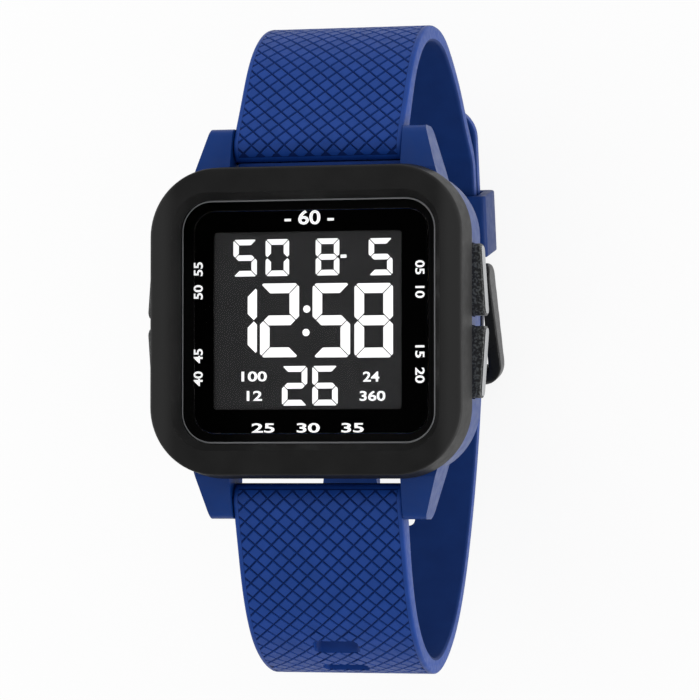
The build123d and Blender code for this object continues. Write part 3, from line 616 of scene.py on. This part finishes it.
def band_section(half, floor, thickness):
    """Cross-section of a band from its outer face round to its inner face: (x, height, tone)."""
    rail = half - BORDER
    edge = min(EDGE_ROUND, thickness / 2)
    points, under = [], []
    for step in range(EDGE_STEPS + 1):
        turn = pi / 2 * step / EDGE_STEPS
        x = half - EDGE_ROUND + EDGE_ROUND * cos(turn)
        points.append((x, -EDGE_ROUND * (1 - sin(turn)), PLAIN))
        under.append((x, -thickness + edge * (1 - sin(turn)), INNER))
    points.append((rail, 0.0, GROOVE))
    points.append((rail - FADE_WIDTH, -floor, GROOVE))
    points.append((0.0, -floor, GROOVE))
    left = [(-x, height, tone) for x, height, tone in reversed(points[:-1])]
    left_under = [(-x, height, tone) for x, height, tone in under]
    return points + left + left_under + [(0.0, -thickness, INNER)] + list(reversed(under))


def band_body(band, zone):
    """Points and faces of a band without its diamonds, and the tone of each face."""
    points, faces, tones, rings = [], [], [], []
    for station in band.stations:
        rise = smooth_share((station["at"] - zone[0]) / FADE_LENGTH)
        rise *= smooth_share((zone[1] - station["at"]) / FADE_LENGTH)
        thickness = (station["outer"] - station["inner"]).length
        ring = []
        for x, height, tone in band_section(station["half"], GROOVE_DEPTH * rise, thickness):
            if height > -thickness / 2:
                spot = station["outer"] + station["normal"] * height
            else:
                spot = station["outer"].lerp(station["inner"], -height / thickness)
            points.append(Vector((x, spot.y, spot.z)))
            ring.append((len(points) - 1, PLAIN if tone == GROOVE and rise < LEAST_RISE else tone))
        rings.append(ring)
    count = len(rings[0])
    for ring, following in zip(rings, rings[1:]):
        for index in range(count):
            after = (index + 1) % count
            quad = (ring[index][0], ring[after][0], following[after][0], following[index][0])
            faces.append(quad if band.side > 0 else quad[::-1])
            tones.append(ring[index][1] if ring[index][1] == ring[after][1] else PLAIN)
    for ring, first in ((rings[0], True), (rings[-1], False)):
        cap = tuple(item[0] for item in ring)
        faces.append(cap[::-1] if first == (band.side > 0) else cap)
        tones.append(PLAIN)
    return points, faces, tones


def tile_planes(inset):
    """Half planes of one diamond in (across, along), drawn in by an inset."""
    a, b = TILE_ACROSS / 2, TILE_ALONG / 2
    size = hypot(1 / a, 1 / b)
    return [(sx / a / size, sy / b / size, 1 / size - inset) for sx in (1, -1) for sy in (1, -1)]


def slot_pieces(x, s, slots):
    """Half planes of the parts of a diamond at (x, s) that are left beside a slot."""
    for middle, length in slots:
        reach_s, reach_x = length / 2, SLOT_WIDTH / 2
        down = s - middle
        if abs(down) < reach_s + TILE_ALONG / 2 and abs(x) < reach_x + TILE_ACROSS / 2:
            inside = [(1, 0, reach_x - x), (-1, 0, reach_x + x)]
            inside += [(0, 1, reach_s - down), (0, -1, reach_s + down)]
            slack = SLOT_ROUND * (2 - ROOT_TWO)
            for sx in (1, -1):
                for sy in (1, -1):
                    distance = reach_x + reach_s - slack - sx * x - sy * down
                    inside.append((sx / ROOT_TWO, sy / ROOT_TWO, distance / ROOT_TWO))
            return [
                inside[:index] + [tuple(-value for value in plane)]
                for index, plane in enumerate(inside)
            ]
    return [[]]


def tile_outlines(x, s, half, zone, slots):
    """Bottom and top outline of each piece of the diamond centred at (x, s)."""
    rail = half - BORDER - FADE_WIDTH * TILE_RAIL_SHARE
    fade = FADE_LENGTH * TILE_FADE_SHARE
    limits = [(1, 0, rail - x), (-1, 0, rail + x)]
    limits += [(0, -1, s - zone[0] - fade), (0, 1, zone[1] - fade - s)]
    found = []
    pieces = slot_pieces(x, s, slots)
    least = LEAST_TILE_AREA if len(pieces) == 1 else LEAST_SLOT_PIECE
    for cuts in pieces:
        bottom, top = (
            convex(tile_planes(inset) + limits + cuts, TILE_ALONG)
            for inset in (GROOVE_WIDTH / 2, GROOVE_WIDTH / 2 + TILE_BEVEL)
        )
        if len(top) < 3 or area(top) < least:
            continue
        found.append((bottom if len(bottom) == len(top) else top, top))
    return found


def strap_half(node, band, zone):
    """A strap half, on the body of its node's name: its band, and the diamonds in that zone."""
    name = node + "_rubber"
    slots = band.slots()
    points, faces, tones = band_body(band, zone)
    mesh = bpy.data.meshes.new(name + "_band")
    mesh.from_pydata([point * MM for point in points], [], faces)
    for finish in (finishes["strap_rubber"], strap_groove_shade, strap_inside_shade):
        mesh.materials.append(finish.material)
    mesh.polygons.foreach_set("material_index", tones)
    mesh.update()
    if slots:
        mesh = with_slots(name, mesh, band, slots)
    else:
        mesh = with_lip(with_pin_gap(name, mesh))
    model = bmesh.new()
    model.from_mesh(mesh)
    model.from_mesh(tile_mesh(name, band, zone, slots))
    made = bpy.data.meshes.new(name)
    model.to_mesh(made)
    model.free()
    for material in mesh.materials:
        made.materials.append(material)
    piece = add_mesh(name, made, node)
    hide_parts(node)


def tile_mesh(name, band, zone, slots):
    """The diamonds of a strap half, laid out flat and then bent along the band."""
    tiles = bmesh.new()
    columns = int(band.stations[0]["half"] / (TILE_ACROSS / 2)) + 2
    for row in range(int(zone[0] / (TILE_ALONG / 2)) - 1, int(zone[1] / (TILE_ALONG / 2)) + 2):
        s = row * TILE_ALONG / 2
        half = band.at(s)[2]
        for column in range(-columns, columns + 1):
            if (row + column) % 2:
                continue
            x = column * TILE_ACROSS / 2
            for bottom, top in tile_outlines(x, s, half, zone, slots):
                add_tile(tiles, x, s, bottom, top)
    bend_cuts(tiles, zone)
    for vertex in tiles.verts:
        x, s, height = vertex.co
        point, normal, _ = band.at(s)
        spot = point + normal * height
        vertex.co = Vector((x, spot.y, spot.z)) * MM
    if band.side > 0:
        bmesh.ops.reverse_faces(tiles, faces=tiles.faces)
    mesh = bpy.data.meshes.new(name + "_tiles")
    tiles.to_mesh(mesh)
    tiles.free()
    return mesh


def add_tile(model, x, s, bottom, top):
    """One diamond, laid flat as (across, along, height): its bevel and its top."""
    rings = []
    for outline, height in ((bottom, -GROOVE_DEPTH - TILE_ROOT), (top, 0.0)):
        rings.append([model.verts.new((x + over, s + down, height)) for over, down in outline])
    low, high = rings
    model.faces.new(high)
    for index in range(len(low)):
        after = (index + 1) % len(low)
        model.faces.new([low[index], low[after], high[after], high[index]])


def bend_cuts(model, zone):
    """Lines across the flat diamonds where the rolled end will bend them."""
    place = zone[0]
    while place < BEND_CUT_END:
        items = list(model.verts) + list(model.edges) + list(model.faces)
        bmesh.ops.bisect_plane(model, geom=items, plane_co=(0, place, 0), plane_no=(0, 1, 0))
        place += BEND_CUT_STEP


def add_box(model, middle, size):
    """A box of that size in millimetres round a point, added to a model."""
    place = Matrix.Translation(middle * MM) @ Matrix.Diagonal((*(size * MM), 1))
    return bmesh.ops.create_cube(model, size=1, matrix=place)["verts"]


def with_lip(mesh):
    """The upper band's mesh with a low lip along its root, which closes the gap to the case."""
    middle = on_circle("upper_spring_bar", 0, 0)
    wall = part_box("bezel")[1].y / MM + LIP_CLEARANCE
    model = bmesh.new()
    model.from_mesh(mesh)
    size = Vector((2 * LIP_HALF_WIDTH, middle.y - wall, LIP_THICKNESS))
    lip = add_box(model, Vector((0, (middle.y + wall) / 2, middle.z + LIP_RISE)), size)
    edges = dict.fromkeys(edge for vertex in lip for edge in vertex.link_edges)
    round_edges(model, list(edges), LIP_ROUND, LIP_ROUND_STEPS)
    model.to_mesh(mesh)
    model.free()
    return mesh


def with_pin_gap(name, mesh):
    """The upper band's mesh with the gap where the tongue is rolled round the pin."""
    cutter = bmesh.new()
    size = Vector((2 * PIN_GAP_HALF_WIDTH, 2 * PIN_GAP_REACH, 2 * PIN_GAP_REACH))
    add_box(cutter, on_circle("buckle_pin", 0, 0), size)
    return cut(name, mesh, cutter)


def with_slots(name, mesh, band, slots):
    """The lower band's mesh with its slots cut through."""
    cutter = bmesh.new()
    for middle, length in slots:
        point, normal, _ = band.at(middle)
        along = across(normal)
        outline = []
        for sx, sy, start in ((1, 1, 0), (-1, 1, 90), (-1, -1, 180), (1, -1, 270)):
            for step in range(SLOT_ROUND_STEPS + 1):
                turn = radians(start + 90 * step / SLOT_ROUND_STEPS)
                x = sx * (SLOT_WIDTH / 2 - SLOT_ROUND) + SLOT_ROUND * cos(turn)
                s = sy * (length / 2 - SLOT_ROUND) + SLOT_ROUND * sin(turn)
                outline.append(Vector((x, 0, 0)) + along * s)
        top, bottom = point + normal * SLOT_CUT_RISE, point - normal * MOST_THICKNESS
        above = [cutter.verts.new((top + spot) * MM) for spot in outline]
        below = [cutter.verts.new((bottom + spot) * MM) for spot in outline]
        cutter.faces.new(above)
        cutter.faces.new(below[::-1])
        for index in range(len(outline)):
            after = (index + 1) % len(outline)
            cutter.faces.new((above[after], above[index], below[index], below[after]))
    bmesh.ops.recalc_face_normals(cutter, faces=cutter.faces)
    return cut(name, mesh, cutter)


def cut(name, mesh, cutter):
    """A mesh less a cutter, which is used up."""
    model = bmesh.new()
    model.from_mesh(mesh)
    bmesh.ops.recalc_face_normals(model, faces=model.faces)
    model.to_mesh(mesh)
    model.free()
    cutter_mesh = bpy.data.meshes.new(name + "_cutter")
    cutter.to_mesh(cutter_mesh)
    cutter.free()
    tool = add_object(name + "_cutter", cutter_mesh)
    work = add_object(name + "_work", mesh)
    boolean = work.modifiers.new("cut", "BOOLEAN")
    boolean.operation = "DIFFERENCE"
    boolean.solver = "MANIFOLD"
    boolean.object = tool
    result = evaluated(work)
    bpy.data.objects.remove(tool)
    bpy.data.objects.remove(work)
    return result


upper_root = on_circle("upper_spring_bar", ROLL_RADIUS, 90 - UPPER_ROOT_ANGLE)
lower_root = on_circle("lower_spring_bar", ROLL_RADIUS, 90 + LOWER_ROOT_ANGLE)
pin_end = on_circle("buckle_pin", PIN_ROLL_RADIUS, RUN_ANGLE - 90)
tail_points = (vertex.co / MM for vertex in nodes["lower_strap"].data.vertices)
tail_end = max(tail_points, key=lambda spot: spot.y) - Vector((0, TAIL_CLEARANCE, 0))
upper_band = Band("upper_strap", upper_root, pin_end, side=1, tail_roll=True)
lower_band = Band("lower_strap", lower_root, tail_end, side=-1, tail_roll=False)
for node, band, root_angle, plain_end in (
    ("upper_strap", upper_band, UPPER_ROOT_ANGLE, UPPER_PLAIN_END),
    ("lower_strap", lower_band, LOWER_ROOT_ANGLE, LOWER_PLAIN_END),
):
    pattern_start = -ROLL_RADIUS * radians(root_angle + PATTERN_ROLL_ANGLE)
    strap_half(node, band, (pattern_start, band.length - plain_end))


# Keeper and buckle
KEEPER_EDGE = 0.3
KEEPER_EDGE_STEPS = 4
KEEPER_FLAT_ANGLE = 3
KEEPER_CORNER_ANGLE = 40
KEEPER_SHARP = 30.0
SAME_PLACE = 0.001
BUCKLE_VOXEL = 0.14
BUCKLE_SMOOTHINGS = 28
SMOOTHING_FACTOR = 0.5


def keeper():
    """The loop that holds the tail, with soft edges."""
    model = bmesh.new()
    model.from_mesh(nodes["strap_keeper"].data)
    bmesh.ops.remove_doubles(model, verts=model.verts, dist=SAME_PLACE * MM)
    flat = radians(KEEPER_FLAT_ANGLE)
    bmesh.ops.dissolve_limit(model, angle_limit=flat, verts=model.verts, edges=model.edges)
    corner = radians(KEEPER_CORNER_ANGLE)
    inner_edges = [edge for edge in model.edges if len(edge.link_faces) == 2]
    edges = [edge for edge in inner_edges if edge.calc_face_angle() > corner]
    round_edges(model, edges, KEEPER_EDGE, KEEPER_EDGE_STEPS)
    mesh = bpy.data.meshes.new("strap_keeper_loop")
    model.to_mesh(mesh)
    model.free()
    mesh.materials.append(keeper_blue.material)
    piece = add_mesh("strap_keeper_loop", mesh, "keeper", KEEPER_SHARP)
    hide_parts("strap_keeper")


def soften(node, voxel, rounds):
    """Soft edges for a node through modifiers: an even new skin, smoothed a number of times."""
    redraw = nodes[node].modifiers.new("redraw", "REMESH")
    redraw.mode = "VOXEL"
    redraw.voxel_size = voxel * MM
    redraw.use_smooth_shade = True
    smooth = nodes[node].modifiers.new("smooth", "SMOOTH")
    smooth.factor = SMOOTHING_FACTOR
    smooth.iterations = rounds


keeper()
soften("buckle_frame", BUCKLE_VOXEL, BUCKLE_SMOOTHINGS)

# Display: segments of the numbers, the mask round them and the small figures on both
lcd_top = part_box("lcd_panel")[1].z / MM
mask_low, mask_high = (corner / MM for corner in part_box("dial_mask"))
CORNER_STEPS = 10
MASK_CORNER = 2.6
WINDOW_CORNER = 0.5
WINDOW_SIZE = (24.38, 22.35)
WINDOW_MIDDLE = (-0.43, 0.15)
PRINT_THICKNESS = 0.04
PRINT_WEIGHT = 0.02
FIGURE_SHARP = 30.0
DOT_RADIUS = 0.46
DOT_STEPS = 28
DIGIT_CHAMFER_SHARE = 0.36
DIGIT_WAIST_SHARE = 0.34
SEGMENT_GAP = 0.12
SEGMENTS = {
    "0": "abcdef",
    "1": "bc",
    "2": "abged",
    "3": "abgcd",
    "4": "fgbc",
    "5": "afgcd",
    "6": "afgecd",
    "7": "abc",
    "8": "abcdefg",
    "9": "abcdfg",
}


def segment_planes(width, height, stroke):
    """Half planes of each of the seven segments of a number, in (x, y) from its middle."""
    w, h, half_stroke = width / 2, height / 2, stroke / 2
    chamfer = stroke * DIGIT_CHAMFER_SHARE
    waist = stroke * DIGIT_WAIST_SHARE
    diagonal = 0.5 ** 0.5
    gap = SEGMENT_GAP / 2
    planes = {}
    for name, up in (("a", 1), ("d", -1)):
        planes[name] = [(0, up, h), (0, -up, stroke - h)]
        for side in (1, -1):
            planes[name] += [
                (side * diagonal, -up * diagonal, (w - h) * diagonal - gap),
                (side * diagonal, up * diagonal, (w + h - chamfer) * diagonal),
            ]
    for name, side, up in (("b", 1, 1), ("c", 1, -1), ("e", -1, -1), ("f", -1, 1)):
        planes[name] = [
            (side, 0, w),
            (-side, 0, stroke - w),
            (-side * diagonal, up * diagonal, (h - w) * diagonal - gap),
            (side * diagonal, up * diagonal, (w + h - chamfer) * diagonal),
            (side * diagonal, -up * diagonal, (w - waist) * diagonal - gap),
            (-side * diagonal, -up * diagonal, (waist - w) * diagonal - gap),
        ]
    planes["g"] = [(0, 1, half_stroke), (0, -1, half_stroke)]
    for side in (1, -1):
        for up in (1, -1):
            planes["g"].append((side * diagonal, up * diagonal, (w - waist) * diagonal - gap))
    return planes


def raised(outlines, bottom_z):
    """Points and faces of thin plates with those outlines."""
    points, faces = [], []
    for outline in outlines:
        start = len(points)
        count = len(outline)
        points += [(x, y, bottom_z) for x, y in outline]
        points += [(x, y, bottom_z + PRINT_THICKNESS) for x, y in outline]
        faces.append(tuple(range(start + count, start + 2 * count)))
        faces.append(tuple(range(start + count - 1, start - 1, -1)))
        for index in range(count):
            after = (index + 1) % count
            low = (start + index, start + after)
            high = (start + count + after, start + count + index)
            faces.append((*low, *high))
    return points, faces


def number(digit, middle_x, middle_y, width, height, stroke):
    """Outlines of a digit's segments, centred at a point."""
    planes = segment_planes(width, height, stroke)
    shapes = [convex(planes[name], height) for name in SEGMENTS[digit]]
    return [[(x + middle_x, y + middle_y) for x, y in shape] for shape in shapes]


def dot(x, y):
    """Outline of one of the two dots between hours and minutes."""
    turns = [2 * pi * step / DOT_STEPS for step in range(DOT_STEPS)]
    return [(x + DOT_RADIUS * cos(turn), y + DOT_RADIUS * sin(turn)) for turn in turns]


def block(x, y, width, height):
    """Outline of a bar."""
    return [
        (x - width / 2, y - height / 2),
        (x + width / 2, y - height / 2),
        (x + width / 2, y + height / 2),
        (x - width / 2, y + height / 2),
    ]


def round_frame(half_x, half_y, corner, middle=(0.0, 0.0)):
    """Rounded rectangle as points, counterclockwise from its right side."""
    points = []
    for quarter, (sx, sy) in enumerate(((1, 1), (-1, 1), (-1, -1), (1, -1))):
        for step in range(CORNER_STEPS + 1):
            turn = pi / 2 * (quarter + step / CORNER_STEPS)
            x = sx * (half_x - corner) + corner * cos(turn)
            y = sy * (half_y - corner) + corner * sin(turn)
            points.append((middle[0] + x, middle[1] + y))
    return points


def dial_plate():
    """The mask with its window as it shows through the crystal, a little left of the middle."""
    outer = round_frame(mask_high.x, mask_high.y, MASK_CORNER)
    window = round_frame(WINDOW_SIZE[0] / 2, WINDOW_SIZE[1] / 2, WINDOW_CORNER, WINDOW_MIDDLE)
    count = len(outer)
    points = []
    for z in (mask_low.z, mask_high.z):
        points += [(x, y, z) for x, y in outer] + [(x, y, z) for x, y in window]
    faces = []
    for index in range(count):
        after = (index + 1) % count
        outer_low, window_low, outer_high, window_high = (
            (index + ring * count, after + ring * count) for ring in range(4)
        )
        faces.append((*outer_high, *window_high[::-1]))
        faces.append((*outer_low[::-1], *window_low))
        faces.append((*outer_low, *outer_high[::-1]))
        faces.append((*window_low[::-1], *window_high))
    plate = add_piece("dial_plate", points, faces, finishes["mask_black"], "case", "mask_black")
    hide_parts("dial_mask")


dial_plate()

DAY_ROW = {"width": 3.06, "height": 4.64, "stroke": 0.7}
TIME_ROW = {"height": 9.3, "stroke": 1.24}
SECONDS_ROW = {"width": 3.28, "height": 4.96, "stroke": 0.72}
display_numbers = (
    number("5", -8.6, 8.1, **DAY_ROW)
    + number("0", -4.39, 8.1, **DAY_ROW)
    + number("8", 2.12, 8.1, **DAY_ROW)
    + number("5", 8.97, 8.03, **DAY_ROW)
    + number("1", -9.54, 0.18, width=4.98, height=8.6, stroke=1.2)
    + number("2", -4.1, 0.2, width=5.08, **TIME_ROW)
    + number("5", 2.62, 0.14, width=4.85, **TIME_ROW)
    + number("8", 8.08, 0.08, width=4.95, **TIME_ROW)
    + number("2", -2.14, -8.05, **SECONDS_ROW)
    + number("6", 1.8, -8.05, **SECONDS_ROW)
    + [dot(-0.56, 1.58), dot(-0.66, -1.36), block(4.19, 8.16, 0.76, 0.41)]
)
add_piece("display_segments", *raised(display_numbers, lcd_top), white_print_painted_glow, "case", "backlight")


def small_number(name, text, x, y, width, height, base_z, turn=0.0):
    """Plain figures in a type face, fitted to a box and raised a little."""
    curve = bpy.data.curves.new(name, "FONT")
    curve.body = text
    curve.align_x = "CENTER"
    curve.align_y = "CENTER"
    curve.offset = PRINT_WEIGHT
    source = add_object(name + "_outline", curve)
    mesh = evaluated(source)
    bpy.data.objects.remove(source)
    places = [vertex.co for vertex in mesh.vertices]
    low, high = (
        Vector((most(spot.x for spot in places), most(spot.y for spot in places), 0))
        for most in (min, max)
    )
    size = high - low
    place = Matrix.Translation(Vector((x, y, base_z)) * MM)
    turned = Matrix.Rotation(radians(turn), 4, "Z")
    fit = Matrix.Diagonal((width * MM / size.x, height * MM / size.y, 1, 1))
    mesh.transform(place @ turned @ fit @ Matrix.Translation(-(low + high) / 2))
    model = bmesh.new()
    model.from_mesh(mesh)
    raised_faces = bmesh.ops.extrude_face_region(model, geom=list(model.faces))["geom"]
    lifted = [item for item in raised_faces if isinstance(item, bmesh.types.BMVert)]
    bmesh.ops.translate(model, verts=lifted, vec=(0, 0, PRINT_THICKNESS * MM))
    bmesh.ops.recalc_face_normals(model, faces=model.faces)
    model.to_mesh(mesh)
    model.free()
    mesh.materials.append(white_print_painted_glow.material)
    add_mesh(name, mesh, "case", FIGURE_SHARP)


LCD_FIGURES = (
    ("upper_left", "100", -7.41, -6.84, 3.3, 1.26),
    ("lower_left", "12", -7.37, -9.28, 2.0, 1.26),
    ("upper_right", "24", 7.75, -6.95, 2.1, 1.26),
    ("lower_right", "360", 7.92, -9.36, 3.3, 1.26),
)
for place, text, x, y, width, height in LCD_FIGURES:
    small_number("display_figure_" + place, text, x, y, width, height, lcd_top)

MASK_FIGURES = (
    ("top", "- 60 -", -0.14, 13.08, 6.4, 1.8, 0),
    ("bottom", "25   30   35", -0.35, -13.34, 14.5, 1.2, 0),
    ("upper_left", "50  55", -14.62, 5.28, 4.7, 1.19, 90),
    ("lower_left", "40  45", -14.61, -5.68, 4.7, 1.19, 90),
    ("upper_right", "05  10", 14.11, 5.13, 4.7, 1.19, -90),
    ("lower_right", "15  20", 14.10, -5.46, 4.7, 1.19, -90),
)
for place, text, x, y, width, height, turn in MASK_FIGURES:
    small_number("dial_figure_" + place, text, x, y, width, height, mask_high.z, turn)


# Light, floor and camera
WATCH_MIDDLE = Vector((0, 0, -10))
LAMPS = (
    ("key_right", (430, -90, -4), (320, 80), 1.0),
    ("fill_left", (-400, 40, 120), (240, 200), 0.35),
    ("top_front", (90, 420, 180), (320, 160), 0.25),
)
FLOOR_HALF_M = 3.0
FLOOR_COLOUR = (0.8, 0.8, 0.8, 1.0)
FLOOR_ROUGHNESS = 0.8
SHADE_SHARE = 0.12
SKY_STRENGTH = 1.0
MIRRORED_STRENGTH = 0.07
VIEW_AZIMUTH = 14.0
VIEW_ELEVATION = -2.0
VIEW_DISTANCE = 457.0
PIXELS_PER_MM = 8.0
IMAGE_PIXELS = 700
DIAL_PIXEL = (307.6, 321.0)
DIAL_POINT = Vector((0, 0, 10))
SENSOR_WIDTH = 36.0
CLIP_FROM_M, CLIP_TO_M = 0.05, 20.0


def area_light(name, place, size, power):
    """A lamp of that size and power in watts, aimed at the watch's middle."""
    lamp = bpy.data.lights.new(name, "AREA")
    lamp.shape = "RECTANGLE"
    lamp.size, lamp.size_y = (value * MM for value in size)
    lamp.energy = power
    holder = add_object(name, lamp)
    holder.location = Vector(place) * MM
    direction = (WATCH_MIDDLE - Vector(place)).normalized()
    holder.rotation_mode = "QUATERNION"
    holder.rotation_quaternion = direction.to_track_quat("-Z", "Y")


def white_stage():
    """Floor material: pale, nearly white to the camera, with the object's shadow left in."""
    material = bpy.data.materials.new("floor_white")
    material.use_nodes = True
    tree = material.node_tree
    shader = tree.nodes["Principled BSDF"]
    shader.inputs["Base Color"].default_value = FLOOR_COLOUR
    shader.inputs["Roughness"].default_value = FLOOR_ROUGHNESS
    glow = tree.nodes.new("ShaderNodeEmission")
    path = tree.nodes.new("ShaderNodeLightPath")
    seen = path.outputs["Is Camera Ray"]
    for ray in ("Is Glossy Ray", "Is Transmission Ray"):
        most = tree.nodes.new("ShaderNodeMath")
        most.operation = "MAXIMUM"
        tree.links.new(seen, most.inputs[0])
        tree.links.new(path.outputs[ray], most.inputs[1])
        seen = most.outputs[0]
    share = tree.nodes.new("ShaderNodeMath")
    share.operation = "MULTIPLY"
    share.inputs[1].default_value = 1 - SHADE_SHARE
    tree.links.new(seen, share.inputs[0])
    look = shader_mix(tree, share.outputs[0], shader.outputs[0], glow.outputs[0])
    tree.links.new(look, tree.nodes["Material Output"].inputs["Surface"])
    return material


floor_corners = [
    (sx * FLOOR_HALF_M, sy * FLOOR_HALF_M, cad_box[0].z)
    for sx, sy in ((-1, -1), (1, -1), (1, 1), (-1, 1))
]
floor_mesh = bpy.data.meshes.new("floor")
floor_mesh.from_pydata(floor_corners, [], [(0, 1, 2, 3)])
floor_mesh.materials.append(white_stage())
floor = add_object("floor", floor_mesh)

# The world lights evenly, shows darker where a surface mirrors it, and is white to the camera
world = bpy.data.worlds.new("studio")
bpy.context.scene.world = world
world.use_nodes = True
world_tree = world.node_tree
ambient = world_tree.nodes["Background"]
backdrop = world_tree.nodes.new("ShaderNodeBackground")
dark_card = world_tree.nodes.new("ShaderNodeBackground")
for sky, strength in (
    (ambient, SKY_STRENGTH),
    (backdrop, SKY_STRENGTH),
    (dark_card, MIRRORED_STRENGTH),
):
    sky.inputs["Color"].default_value = WHITE
    sky.inputs["Strength"].default_value = strength
world_path = world_tree.nodes.new("ShaderNodeLightPath")
mirrored = world_tree.nodes.new("ShaderNodeMath")
mirrored.operation = "GREATER_THAN"
world_tree.links.new(world_path.outputs["Is Glossy Ray"], mirrored.inputs[0])
world_tree.links.new(world_path.outputs["Is Transmission Ray"], mirrored.inputs[1])
world_sky = ambient.outputs[0]
for chosen, sky in (
    (mirrored.outputs[0], dark_card),
    (world_path.outputs["Is Camera Ray"], backdrop),
):
    world_sky = shader_mix(world_tree, chosen, world_sky, sky.outputs[0])
world_tree.links.new(world_sky, world_tree.nodes["World Output"].inputs["Surface"])

for lamp_name, place, size, power in LAMPS:
    area_light(lamp_name, place, size, power)

turn, tilt = radians(VIEW_AZIMUTH), radians(VIEW_ELEVATION)
toward = Vector((sin(turn) * cos(tilt), sin(tilt), cos(turn) * cos(tilt)))
right = Vector((cos(turn), 0, -sin(turn)))
up = toward.cross(right)
offset_right = (IMAGE_PIXELS / 2 - DIAL_PIXEL[0]) / PIXELS_PER_MM
offset_up = (DIAL_PIXEL[1] - IMAGE_PIXELS / 2) / PIXELS_PER_MM
target = DIAL_POINT + right * offset_right + up * offset_up
camera_data = bpy.data.cameras.new("camera")
camera_data.sensor_width = SENSOR_WIDTH
camera_data.lens = PIXELS_PER_MM * VIEW_DISTANCE * SENSOR_WIDTH / IMAGE_PIXELS
camera_data.clip_start = CLIP_FROM_M
camera_data.clip_end = CLIP_TO_M
camera = add_object("camera", camera_data)
axes = Matrix((right, up, toward)).transposed().to_4x4()
camera.matrix_world = Matrix.Translation((target + toward * VIEW_DISTANCE) * MM) @ axes
bpy.context.scene.camera = camera
bpy.context.scene.view_settings.view_transform = "Standard"
